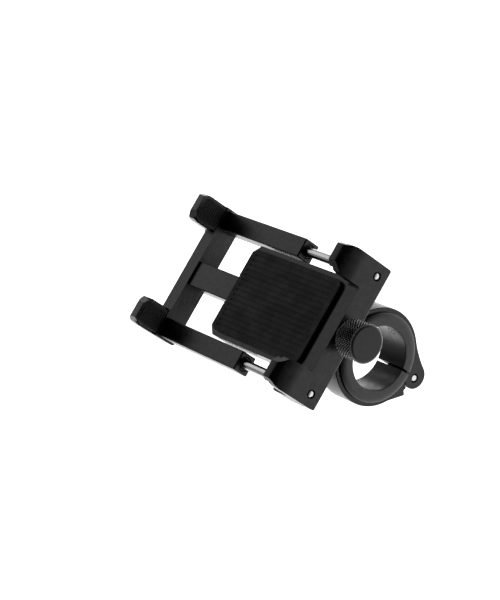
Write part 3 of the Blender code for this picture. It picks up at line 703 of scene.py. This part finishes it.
def fine_clamp_arm():
    """Fixed half of the ring, its middle knuckle, its stop tooth and the swivel hub."""
    edge = PART_Y - PART_GAP / 2
    block_angle = angle_at_y(CLAMP_RO, BLOCK_Y) - 360
    inner = angle_at_y(CLAMP_RI, edge)
    outline = [(edge, ARM_HEEL[1]), ARM_HEEL, TOOTH_FOOT, TOOTH_TIP]
    outline += arc(CLAMP_RO, TOOTH_ANGLE, block_angle, 64)
    outline += [(BLOCK_Y, BLOCK_TOP_Z), (edge, BLOCK_TOP_Z)]
    outline += arc(CLAMP_RI, inner, 360 - inner, 96)
    arm = soften(prism("arm_body", outline, "X", -CLAMP_HALF_W, CLAMP_HALF_W), EDGE_BREAK)
    pin = (0, PART_Y, PIN_Z)
    far = CLAMP_HALF_W + PAST
    clear = swept_lug(LUG_R + GAP, 96)
    combine(arm, [prism("side", clear, "X", s * KNUCKLE_HALF_W, s * far) for s in (1, -1)], "DIFFERENCE")
    knuckle = rod("knuckle", "X", pin, KNUCKLE_R, -KNUCKLE_HALF_W, KNUCKLE_HALF_W)
    web = prism("web", WEB, "X", -KNUCKLE_HALF_W, KNUCKLE_HALF_W)
    step_z = HUB_TOP_Z - HUB_FLANGE_T
    hub = turned("hub", [(0, BLOCK_TOP_Z - GAP), (HUB_NECK_R, BLOCK_TOP_Z - GAP), (HUB_NECK_R, step_z),
                         (HUB_FLANGE_R - 0.2, step_z), (HUB_FLANGE_R, step_z + 0.2),
                         (HUB_FLANGE_R, HUB_TOP_Z - 0.2), (HUB_FLANGE_R - 0.2, HUB_TOP_Z),
                         (0, HUB_TOP_Z)], "Z", (0, TRAY_Y, 0))
    combine(arm, [knuckle, web, hub], "UNION")
    cutters = [rod("bore", "X", pin, PIN_R + BORE_GAP, -far, far)]
    bottom = -BOLT_REACH - BOLT_HOLE_SPARE
    cutters.append(rod("bore", "Y", (0, PART_Y, BOLT_Z), BOLT_R + BORE_GAP, bottom, PAST))
    return combine(arm, cutters, "DIFFERENCE")


def lug_fillet_centre():
    """Centre of the hollow that touches both the ring and the lug from outside."""
    ring_far, lug_far = CLAMP_RO + LUG_FILLET_R, LUG_R + LUG_FILLET_R
    apart = math.hypot(*LUG_AT)
    along = (ring_far ** 2 - lug_far ** 2 + apart ** 2) / (2 * apart)
    across = math.sqrt(ring_far ** 2 - along ** 2)
    y, z = LUG_AT[0] / apart, LUG_AT[1] / apart
    return (along * y - across * z, along * z + across * y)


def fine_clamp_cap():
    """Swinging half of the ring with two outer knuckles, a hollowed neck and the bolt ear."""
    edge = PART_Y + PART_GAP / 2
    hollow = lug_fillet_centre()
    ring_end = math.degrees(math.atan2(hollow[1], hollow[0]))
    lug_start = math.degrees(math.atan2(hollow[1] - LUG_AT[1], hollow[0] - LUG_AT[0]))
    lug_end = angle_at_y(LUG_R, edge - LUG_AT[0]) - 360
    inner = angle_at_y(CLAMP_RI, edge)
    outline = [(edge, EAR_TOP_Z)]
    outline += arc(EAR_CORNER, 90, 0, 8, (EAR_Y - EAR_CORNER, EAR_TOP_Z - EAR_CORNER))
    outline += arc(CLAMP_RO, angle_at_y(CLAMP_RO, EAR_Y), ring_end, 56)
    outline += arc(LUG_FILLET_R, ring_end + 180, lug_start + 180, 20, hollow)[1:-1]
    outline += arc(LUG_R, lug_start, lug_end, 56, LUG_AT)
    outline += arc(CLAMP_RI, -inner, inner, 96)
    cap = soften(prism("cap_body", outline, "X", -CLAMP_HALF_W, CLAMP_HALF_W), EDGE_BREAK)
    slot = KNUCKLE_HALF_W + GAP
    combine(cap, [rod("slot", "X", (0, *LUG_AT), LUG_R + 0.2, -slot, slot, 96)], "DIFFERENCE")
    far = CLAMP_HALF_W + PAST
    cutters = [rod("bore", "X", (0, PART_Y, PIN_Z), PIN_R + BORE_GAP, -far, far)]
    cutters.append(rod("bore", "Y", (0, PART_Y, BOLT_Z), BOLT_R + GAP, -PAST, EAR_Y + PAST))
    return combine(cap, cutters, "DIFFERENCE")


def flange_rim():
    """Rounded edge of a flange as (radius, x), from its back to its flat face."""
    rim = [(FLANGE_R - 0.25, CLAMP_HALF_W + GAP), (FLANGE_R, CLAMP_HALF_W + GAP + 0.2)]
    for i in range(11):
        angle = math.radians(9 * i)
        radius = FLANGE_R - FLANGE_ROUND * (1 - math.cos(angle))
        rim.append((radius, SHIM_HALF_W - FLANGE_DROP * (1 - math.sin(angle))))
    return rim


def fine_shim_half(name, side):
    """Liner half: a sleeve with a rounded flange at each end and a broken edge round its bore."""
    mouth = [(BAR_R + 0.35, SHIM_HALF_W), (BAR_R + 0.1, SHIM_HALF_W - 0.1), (BAR_R, SHIM_HALF_W - 0.35)]
    half = [(SLEEVE_R, CLAMP_HALF_W + GAP)] + flange_rim() + mouth
    profile = half + [(r, -x) for r, x in reversed(half)]
    ring = turned(name, profile, "X", (0, 0, 0), 192)
    far = FLANGE_R + 2
    near = PART_Y + side * PART_GAP / 2
    keep = block("keep", (-far, min(near, side * far), -far), (far, max(near, side * far), far))
    return combine(ring, [keep], "INTERSECT")


def add_gate_mark(shim):
    """Shallow ring with a dot that the mould left inside the liner."""
    centre, start = (MARK_X, 0, 0), BAR_R - 0.6
    groove = tube("groove", "Y", centre, *MARK_RING, start, BAR_R + MARK_DEPTH, 0.01, 48)
    dot = rod("dot", "Y", centre, MARK_DOT_R, start, BAR_R + MARK_DEPTH + 0.02, 24)
    for cutter in (groove, dot):
        cutter.data.transform(Matrix.Rotation(math.radians(MARK_ANGLE), 4, "X"))
    return combine(shim, [groove, dot], "DIFFERENCE")


def fine_hinge_pin():
    half = CLAMP_HALF_W - 0.1
    c = 0.25
    profile = [(0, -half), (PIN_R - c, -half), (PIN_R, -half + c),
               (PIN_R, half - c), (PIN_R - c, half), (0, half)]
    return turned("pin_body", profile, "X", (0, PART_Y, PIN_Z), 48)


def thread_rows(radius, start, end, pitch, depth):
    """Rows of a screw thread between two depths, fading in at both ends."""
    per_turn = 8
    count = max(2, round((end - start) / pitch * per_turn))
    rows = []
    for i in range(count + 1):
        x = start + (end - start) * i / count
        fade = min(1.0, (x - start) / (0.6 * pitch), (end - x) / (0.6 * pitch))

        def radius_at(t, x=x, fade=max(0.0, fade)):
            phase = (x / pitch - t) % 1.0
            return radius - depth * fade * (1 - abs(2 * phase - 1))
        rows.append((x, radius_at))
    return rows


def constant(radius):
    return lambda t: radius


def fine_clamp_bolt():
    """Socket-head bolt with a fluted head and a thread on its far end."""
    tip = PART_Y - BOLT_REACH
    head = EAR_Y + WASHER_T + 2 * GAP
    top = head + BOLT_HEAD_H
    rows = [(tip, constant(BOLT_R - 0.4)), (tip + 0.4, constant(BOLT_R))]
    rows += thread_rows(BOLT_R, tip + 0.45, EAR_Y - 4.0, *COARSE_THREAD)
    rows.append((head - 0.02, constant(BOLT_R)))
    stem = turned_surface("stem", rows, "Y", (0, 0, BOLT_Z), 32)
    profile = [(0, head - 0.1), (BOLT_HEAD_R - 0.15, head - 0.02), (BOLT_HEAD_R, head + 0.15),
               (BOLT_HEAD_R, top - 0.5), (BOLT_HEAD_R - 0.12, top - 0.15),
               (BOLT_HEAD_R - 0.45, top), (0, top)]
    head_piece = turned("head", profile, "Y", (0, 0, BOLT_Z), 64)
    cutters = [prism("key", circle(HEX_KEY_R, (0, BOLT_Z), 6), "Y", top - HEX_KEY_DEPTH, top + PAST)]
    for x, z in circle(BOLT_HEAD_R + 0.1, (0, BOLT_Z), FLUTES):
        cutters.append(rod("flute", "Y", (x, 0, z), FLUTE_R, head + 0.3, top - 0.6, 6))
    combine(head_piece, cutters, "DIFFERENCE")
    return combine(stem, [head_piece], "UNION")


# ---------------------------------------------------------------- swivel

def ring_screw_places():
    offset = RING_SCREW_AT * math.sqrt(0.5)
    return [(sx * offset, TRAY_Y + sy * offset) for sx in (1, -1) for sy in (1, -1)]


def fine_swivel_ring():
    """Stepped ring under the tray that traps the clamp's hub flange and lets it turn."""
    lip_z = RING_LIP_Z
    step_z = lip_z + RING_LIP_T
    inner = HUB_NECK_R + GAP
    pocket = HUB_FLANGE_R + GAP
    rim = [(r, z) for r, z in arc(RING_ROUND, -90, 0, 6, (RING_R - RING_ROUND, lip_z + RING_ROUND))]
    profile = [(inner + 0.25, lip_z)] + rim + [(RING_R, HUB_TOP_Z - 0.2), (RING_R - 0.2, HUB_TOP_Z),
                                               (pocket, HUB_TOP_Z), (pocket, step_z), (inner, step_z),
                                               (inner, lip_z + 0.25)]
    ring = turned("ring_body", profile, "Z", (0, TRAY_Y, 0), 128)
    cutters = []
    for x, y in ring_screw_places():
        centre = (x, y, 0)
        cutters.append(rod("bore", "Z", centre, RING_SCREW_R + GAP, lip_z - PAST, HUB_TOP_Z + PAST, 40))
        sink = lip_z + RING_SCREW_SINK
        cutters.append(rod("sink", "Z", centre, RING_SCREW_HEAD_R + GAP, lip_z - PAST, sink, 40))
    return combine(ring, cutters, "DIFFERENCE")


def fine_swivel_screw(name, x, y):
    face = RING_LIP_Z + 0.1
    seat = face + RING_SCREW_HEAD_T
    tip = BASE_BOTTOM_Z + RING_SCREW_REACH
    head_r = RING_SCREW_HEAD_R
    rows = [(face, constant(head_r - 0.25)), (face + 0.1, constant(head_r - 0.08)),
            (face + 0.3, constant(head_r)), (seat - 0.05, constant(head_r)), (seat, constant(head_r - 0.05)),
            (seat + 0.01, constant(RING_SCREW_R))]
    rows += thread_rows(RING_SCREW_R, seat + 0.3, tip - 0.2, *FINE_THREAD)
    rows.append((tip, constant(RING_SCREW_R - 0.3)))
    screw = turned_surface(name, rows, "Z", (x, y, 0), 32)
    key = prism("key", circle(RING_KEY_R, (x, y), 6), "Z", face - PAST, face + RING_KEY_DEPTH)
    return combine(screw, [key], "DIFFERENCE")


# ---------------------------------------------------------------- tray and jaws

def fine_base_tray():
    """T-shaped tray: a crossbar behind the fixed jaw and a body slotted for the tongue."""
    right = GRIP_X - GAP
    bar = JAW_HALF_L
    half = [(right, bar), (CROSSBAR_X + 1.0, bar)]
    half += arc(1.0, 90, 180, 6, (CROSSBAR_X + 1.0, bar - 1.0))
    half += [(CROSSBAR_X - x, BASE_HALF_W + y) for x, y in ((0.0, 0.6), (0.2, 0.2), (0.6, 0.0))]
    half += [(BASE_END_X + BASE_CORNER, BASE_HALF_W), (BASE_END_X, BASE_HALF_W - BASE_CORNER)]
    outline = half + [(x, -y) for x, y in reversed(half)]
    tray = prism("tray_body", [(x, y + TRAY_Y) for x, y in outline], "Z", BASE_BOTTOM_Z, BASE_TOP_Z)
    soften(tray, 0.5)
    width = TONGUE_HALF_W + BORE_GAP
    floor = SCREW_Z - BAR_HALF_H - GAP
    cutters = [block("channel", (BASE_END_X - PAST, TRAY_Y - width, floor),
                     (CROSSBAR_X, TRAY_Y + width, BASE_TOP_Z + PAST))]
    start, end = CROSSBAR_X - PAST, right + PAST
    cutters.append(rod("bore", "X", (0, TRAY_Y, SCREW_Z), SCREW_BORE_R, start, end))
    for side in (UPPER, LOWER):
        centre = (0, TRAY_Y + side * ROD_Y, SCREW_Z)
        cutters.append(rod("bore", "X", centre, ROD_BORE_R, start, end))
        cutters.append(countersink("X", centre, ROD_BORE_R, CROSSBAR_X, -1, 0.4))
    low, high = BASE_BOTTOM_Z - PAST, BASE_BOTTOM_Z + RING_SCREW_HOLE
    for x, y in ring_screw_places():
        cutters.append(rod("bore", "Z", (x, y, 0), RING_SCREW_R + GAP, low, high, 40))
    return combine(tray, cutters, "DIFFERENCE")


def horn_curve(outer, steps=24):
    """Outer top corner of a horn: part of a tall ellipse that stops short of level."""
    points = []
    for i in range(steps + 1):
        angle = math.radians(HORN_SWEEP * i / steps)
        u = outer - HORN_ROUND_W + HORN_ROUND_W * math.cos(angle)
        points.append((u, HORN_TOP_Z - HORN_ROUND_H + HORN_ROUND_H * math.sin(angle)))
    points.append((outer - HORN_ROUND_W, HORN_TOP_Z))
    return points


def jaw_profile(grip_x, outward):
    """Side profile of a jaw in (x, z), hooked at the top and rounded on its outer corner."""
    back = JAW_BACK_ROUND
    ledge_z = PHONE_BACK_Z - GAP
    points = [(0, ledge_z), (0, JAW_BACK_Z)]
    points += arc(back, -90, 0, 8, (JAW_T - back, JAW_BACK_Z + back))
    points += horn_curve(JAW_T)
    points += [(-LIP_REACH, HORN_TOP_Z), (-LIP_REACH, HORN_TOP_Z - LIP_H)]
    points += [(PAD_T + GAP, HORN_TOP_Z - LIP_H), (PAD_T + GAP, ledge_z)]
    return [(grip_x + outward * u, z) for u, z in points]


def jaw_outline():
    """Outline of a jaw in (y, z): a plate with two tapered horns and a window between them."""
    taper_z = HORN_TOP_Z - HORN_TAPER_H
    bend_z = taper_z + HORN_BEND_H
    top_in = WINDOW_HALF_L + HORN_TAPER_IN
    top_out = JAW_HALF_L - HORN_TAPER_OUT
    over = HORN_TOP_Z + 0.5
    half = arc(JAW_CORNER, -90, 0, 8, (JAW_HALF_L - JAW_CORNER, JAW_BACK_Z - 0.3 + JAW_CORNER))
    half += [(JAW_HALF_L, taper_z), (JAW_HALF_L - HORN_BEND_OUT, bend_z), (top_out, HORN_TOP_Z)]
    half += [(top_out, over), (top_in, over), (top_in, HORN_TOP_Z)]
    half += [(WINDOW_HALF_L + HORN_BEND_IN, bend_z), (WINDOW_HALF_L, taper_z)]
    half += arc(WINDOW_CORNER, 0, -90, 8, (WINDOW_HALF_L - WINDOW_CORNER, WINDOW_Z + WINDOW_CORNER))
    mirrored = [(-y, z) for y, z in reversed(half)]
    return [(y + TRAY_Y, z) for y, z in half + mirrored]


def jaw_blank(name, grip_x, outward):
    inner = grip_x - outward * PAST
    outer = grip_x + outward * (JAW_T + PAST)
    plate = prism(name, jaw_profile(grip_x, outward), "Y", TRAY_Y - JAW_HALF_L, TRAY_Y + JAW_HALF_L)
    outline = prism("outline", jaw_outline(), "X", min(inner, outer), max(inner, outer))
    combine(plate, [outline], "INTERSECT")
    return soften(plate, 0.32, 32)


def fine_fixed_jaw():
    jaw = jaw_blank("fixed_jaw_body", GRIP_X, 1)
    start, end = GRIP_X - PAST, FACE_X + PAST
    screw = (0, TRAY_Y, SCREW_Z)
    cutters = [rod("bore", "X", screw, BUSH_R + GAP, start, end)]
    for side in (UPPER, LOWER):
        centre = (0, TRAY_Y + side * ROD_Y, SCREW_Z)
        cutters.append(rod("bore", "X", centre, ROD_SPIGOT_R + BORE_GAP, start, end))
        cutters.append(countersink("X", centre, ROD_SPIGOT_R + BORE_GAP, FACE_X, 1, 0.15))
    return combine(jaw, cutters, "DIFFERENCE")


def fine_sliding_jaw():
    """Left-hand jaw with two side arms on the guide rods and a tongue for the drive nut."""
    jaw = jaw_blank("sliding_jaw_body", SLIDE_GRIP_X, -1)
    root = SLIDE_GRIP_X - PAST
    low_z, high_z = SCREW_Z - BAR_HALF_H, SCREW_Z + BAR_HALF_H
    bars = []
    for y, half in ((ROD_Y, ARM_HALF_W), (-ROD_Y, ARM_HALF_W), (0, TONGUE_HALF_W)):
        middle = TRAY_Y + y
        bar = block("bar", (root, middle - half, low_z), (ARM_END_X, middle + half, high_z))
        bars.append(soften(bar, 0.45))
    combine(jaw, bars, "UNION")
    blind = SLIDE_GRIP_X - BLIND_DEPTH
    end = ARM_END_X + PAST
    cutters = [rod("bore", "X", (0, TRAY_Y, SCREW_Z), SCREW_BORE_R, blind, end),
               countersink("X", (0, TRAY_Y, SCREW_Z), SCREW_BORE_R, ARM_END_X, 1, 0.3)]
    for side in (UPPER, LOWER):
        centre = (0, TRAY_Y + side * ROD_Y, SCREW_Z)
        seat = ARM_END_X - ROD_BUSH_L - GAP
        cutters.append(rod("bore", "X", centre, ROD_BORE_R, blind, end))
        cutters.append(rod("sink", "X", centre, ROD_BUSH_R + GAP, seat, end))
    cutters.append(block("pocket", (NUT_X0 - GAP, TRAY_Y - NUT_HALF_W - GAP, SCREW_Z - NUT_DROP - GAP),
                         (NUT_X1 + GAP, TRAY_Y + NUT_HALF_W + GAP, high_z + PAST)))
    return combine(jaw, cutters, "DIFFERENCE")


def fine_guide_rod(name, side):
    shoulder = GRIP_X - GAP
    tip = FACE_X - 0.05
    c = 0.3
    profile = [(0, ROD_END_X), (ROD_R - 0.4, ROD_END_X), (ROD_R, ROD_END_X + 0.4), (ROD_R, shoulder - 0.2),
               (ROD_R - 0.2, shoulder), (ROD_SPIGOT_R, shoulder), (ROD_SPIGOT_R, tip - c),
               (ROD_SPIGOT_R - 0.12, tip - 0.1), (ROD_SPIGOT_R - 0.3, tip), (0, tip)]
    return turned(name, profile, "X", (0, TRAY_Y + side * ROD_Y, SCREW_Z), 64)


def fine_grip_pad(name, grip_x, outward, side):
    """Rubber face of a horn with fine grip ribs across it."""
    low, high = PHONE_BACK_Z, HORN_TOP_Z - LIP_H - GAP
    taper_z = HORN_TOP_Z - HORN_TAPER_H
    outer, inner = JAW_HALF_L - PAD_INSET, WINDOW_HALF_L + PAD_INSET
    outline = [(inner, low), (outer, low), (outer, taper_z), (outer - 0.7, high), (inner + 0.8, high),
               (inner, taper_z)]
    outline = [(side * y + TRAY_Y, z) for y, z in outline]
    faces = (grip_x, grip_x + outward * PAD_T)
    pad = soften(prism(name, outline, "X", min(faces), max(faces)), 0.3)
    groove_x = grip_x - outward * RIB_GROOVE_OUT
    middle = side * (outer + inner) / 2 + TRAY_Y
    half = (outer - inner) / 2 - RIB_MARGIN
    grooves = []
    z = low + RIB_MARGIN
    while z < high - 0.5:
        grooves.append(rod("groove", "Y", (groove_x, middle, z), RIB_GROOVE_R, -half, half, 10))
        z += RIB_PITCH
    return combine(pad, grooves, "DIFFERENCE")


def fine_rest_pad():
    """Soft sheet with a raised rim and shallow grooves along it."""
    outline = rounded_rectangle(REST_X0, TRAY_Y - REST_HALF_W, REST_X1, TRAY_Y + REST_HALF_W,
                                REST_CORNER)
    sheet = soften(prism("rest_body", outline, "Z", BASE_TOP_Z + GAP, PHONE_BACK_Z), 0.25)
    grooves = []
    start, end = REST_X0 + REST_MARGIN, REST_X1 - REST_MARGIN
    y = TRAY_Y - REST_HALF_W + REST_MARGIN
    while y < TRAY_Y + REST_HALF_W - REST_MARGIN + 0.1:
        centre = (0, y, PHONE_BACK_Z + REST_GROOVE_RISE)
        grooves.append(rod("groove", "X", centre, REST_GROOVE_R, start, end, 10))
        y += REST_PITCH
    return combine(sheet, grooves, "DIFFERENCE")


# ---------------------------------------------------------------- drive

def fine_lead_screw():
    """Drive screw: chamfered tip, thread, thrust collar and a plain journal."""
    plain = constant(SCREW_R)
    rows = [(ROD_END_X, constant(SCREW_R - 0.5)), (ROD_END_X + 0.5, plain)]
    rows += thread_rows(SCREW_R, ROD_END_X + 0.55, COLLAR_X0 - 3.0, *COARSE_THREAD)
    rows += [(COLLAR_X0 - 0.01, plain), (COLLAR_X0, constant(COLLAR_R - 0.15)),
             (COLLAR_X0 + 0.15, constant(COLLAR_R)), (COLLAR_X1 - 0.15, constant(COLLAR_R)),
             (COLLAR_X1, constant(COLLAR_R - 0.15)), (COLLAR_X1 + 0.01, plain),
             (SCREW_TIP_X - 0.3, plain), (SCREW_TIP_X, constant(SCREW_R - 0.3))]
    return turned_surface("screw_body", rows, "X", (0, TRAY_Y, SCREW_Z), 48)


def knurl_radius(x):
    """Radius of the knob's diamond knurl: pyramids left between two families of helical grooves."""
    def radius_at(t):
        a = (t * KNURL_AROUND + x / KNURL_PITCH) % 1.0
        b = (t * KNURL_AROUND - x / KNURL_PITCH) % 1.0
        ridge = min(1 - abs(2 * a - 1), 1 - abs(2 * b - 1))
        return KNOB_R - KNURL_DEPTH * (1 - ridge)
    return radius_at


def fine_knob():
    """Knob with a diamond knurl, a plain neck and a turned face behind a thin rim."""
    x0, x1 = KNOB_X0, KNOB_X1
    neck_x = FACE_X + KNOB_NECK_GAP
    rows = [(neck_x, constant(KNOB_NECK_R - 0.2)), (neck_x + 0.2, constant(KNOB_NECK_R)),
            (x0, constant(KNOB_NECK_R)), (x0 + 0.001, constant(KNOB_R - KNOB_EDGE)),
            (x0 + 0.3, constant(KNOB_R - 0.35))]
    first, last = x0 + 0.45, x1 - 0.95
    count = round((last - first) / KNURL_PITCH * 8)
    for i in range(count + 1):
        x = first + (last - first) * i / count
        rows.append((x, knurl_radius(x)))
    rows += [(x1 - 0.86, constant(KNOB_R - KNURL_DEPTH)), (x1 - 0.74, constant(KNOB_R - KNURL_DEPTH)),
             (x1 - 0.68, constant(KNOB_R - 0.15)), (x1 - 0.5, constant(KNOB_R - 0.15)),
             (x1 - 0.3, constant(KNOB_R - 0.35)), (x1 - 0.1, constant(KNOB_R - 0.75)),
             (x1 - 0.02, constant(KNOB_R - 1.0)), (x1, constant(KNOB_R - 1.2))]
    centre = (0, TRAY_Y, SCREW_Z)
    body = turned_surface("knob_body", rows, "X", centre, KNURL_STEPS)
    bore = rod("bore", "X", centre, SCREW_BORE_R, neck_x - PAST, SCREW_TIP_X + GAP)
    hole = rod("hole", "Z", (GRUB_X, TRAY_Y, SCREW_Z), GRUB_R + GAP, -KNOB_R - PAST, -1.0, 32)
    return combine(body, [bore, hole], "DIFFERENCE")


def fine_grub_screw():
    low, high = -GRUB_REACH, -SCREW_BORE_R - 0.1
    rows = [(low, constant(GRUB_R - 0.2)), (low + 0.15, constant(GRUB_R))]
    rows += thread_rows(GRUB_R, low + 0.2, high - 0.3, *GRUB_THREAD)
    rows += [(high, constant(GRUB_R - 0.35))]
    centre = (GRUB_X, TRAY_Y, SCREW_Z)
    screw = turned_surface("grub_body", rows, "Z", centre, 32)
    mouth = SCREW_Z + low
    key = prism("key", circle(GRUB_KEY_R, (GRUB_X, TRAY_Y), 6), "Z", mouth - PAST, mouth + 1.0)
    return combine(screw, [key], "DIFFERENCE")


def fine_drive_nut():
    low = (NUT_X0, TRAY_Y - NUT_HALF_W, SCREW_Z - NUT_DROP)
    high = (NUT_X1, TRAY_Y + NUT_HALF_W, SCREW_Z + NUT_RISE)
    nut = soften(block("nut_body", low, high), 0.35)
    centre = (0, TRAY_Y, SCREW_Z)
    cutters = [rod("bore", "X", centre, SCREW_BORE_R, NUT_X0 - PAST, NUT_X1 + PAST)]
    return combine(nut, cutters, "DIFFERENCE")


# ---------------------------------------------------------------- assembly

def place(piece, node, body, slot, mat):
    """Finish a piece and let it stand for a CAD node."""
    piece.name = "fine_" + node
    piece.data.materials.clear()
    piece.data.materials.append(mat)
    smooth(piece)
    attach(piece, body)
    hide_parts(node)


def make_clamp(alloy, nylon, steel, oxide):
    place(fine_clamp_arm(), "clamp_arm", "clamp", "anodised", alloy)
    place(fine_shim_half("shim", -1), "shim_half_fixed", "clamp", "shim_nylon", nylon)
    place(fine_hinge_pin(), "hinge_pin", "clamp", "bright_steel", steel)
    place(fine_clamp_cap(), "clamp_cap", "cap", "anodised", alloy)
    place(add_gate_mark(fine_shim_half("shim", 1)), "shim_half_swing", "cap", "shim_nylon", nylon)
    washer = tube("washer", "Y", (0, EAR_Y, BOLT_Z), BOLT_R + GAP, WASHER_R, GAP, GAP + WASHER_T, 0.08)
    place(washer, "bolt_washer", "cap", "bright_steel", steel)
    place(fine_clamp_bolt(), "clamp_bolt", "bolt", "black_steel", oxide)


def make_holder(alloy, turned_alloy, soft, sheet, bush, steel, brass):
    place(fine_swivel_ring(), "swivel_ring", "holder", "anodised", turned_alloy)
    for number, (x, y) in enumerate(ring_screw_places(), 1):
        place(fine_swivel_screw("screw", x, y), f"swivel_screw_{number}", "holder", "bright_steel", steel)
    place(fine_base_tray(), "base_tray", "holder", "anodised", alloy)
    place(fine_rest_pad(), "rest_pad", "holder", "rubber", sheet)
    place(fine_fixed_jaw(), "fixed_jaw", "holder", "anodised", alloy)
    centre = (0, TRAY_Y, SCREW_Z)
    bearing = tube("bearing", "X", centre, SCREW_BORE_R, BUSH_R, COLLAR_X1 + GAP, FACE_X - GAP, 0.1)
    place(bearing, "screw_bush", "holder", "brass", brass)
    washer = tube("washer", "X", (FACE_X, TRAY_Y, SCREW_Z), SCREW_BORE_R, THRUST_WASHER_R, GAP,
                  GAP + THRUST_WASHER_T, 0.08)
    place(washer, "thrust_washer", "holder", "bush_nylon", bush)
    for side, word in ((UPPER, "upper"), (LOWER, "lower")):
        place(fine_guide_rod("rod", side), f"guide_rod_{word}", "holder", "bright_steel", steel)
        place(fine_grip_pad("pad", GRIP_X, 1, side), f"fixed_pad_{word}", "holder", "rubber", soft)


def make_drive(knob_alloy, steel, oxide):
    place(fine_knob(), "knob", "drive", "anodised", knob_alloy)
    place(fine_lead_screw(), "lead_screw", "drive", "bright_steel", steel)
    place(fine_grub_screw(), "knob_grub_screw", "drive", "black_steel", oxide)


def make_slider(alloy, soft, bush, brass):
    place(fine_sliding_jaw(), "sliding_jaw", "slider", "anodised", alloy)
    place(fine_drive_nut(), "drive_nut", "slider", "brass", brass)
    for side, word in ((UPPER, "upper"), (LOWER, "lower")):
        centre = (ARM_END_X, TRAY_Y + side * ROD_Y, SCREW_Z)
        bearing = tube("bearing", "X", centre, ROD_BORE_R, ROD_BUSH_R, -ROD_BUSH_L, -0.2)
        place(bearing, f"rod_bush_{word}", "slider", "bush_nylon", bush)
        place(fine_grip_pad("pad", SLIDE_GRIP_X, -1, side), f"sliding_pad_{word}", "slider", "rubber", soft)


def main():
    make_camera()
    make_studio()
    alloy = anodised()
    turned_alloy = anodised("turned_anodised", ("Z", (0, TRAY_Y, 0)))
    knob_alloy = anodised("knob_anodised", ("X", (0, TRAY_Y, SCREW_Z)), KNOB_R - KNOB_EDGE)
    nylon = moulded("liner_nylon", (0.006, 0.006, 0.0064), (0.010, 0.010, 0.0104), 0.4, BAR_R)
    bush = moulded("bush_nylon", (0.02, 0.02, 0.02), (0.035, 0.035, 0.035), 0.42)
    soft = rubber("black_rubber", 0.009, 0.019)
    sheet = rubber("sheet_rubber", 0.022, 0.036)
    steel = metal("bright_steel", (0.4, 0.4, 0.41), (0.52, 0.52, 0.53), 0.18, 0.3)
    brass = metal("plain_brass", (0.66, 0.45, 0.19), (0.8, 0.6, 0.3), 0.22, 0.36, None, (0.16, 0.1, 0.04))
    oxide = black_oxide()
    make_clamp(alloy, nylon, steel, oxide)
    make_holder(alloy, turned_alloy, soft, sheet, bush, steel, brass)
    make_drive(knob_alloy, steel, oxide)
    make_slider(alloy, soft, bush, brass)


main()
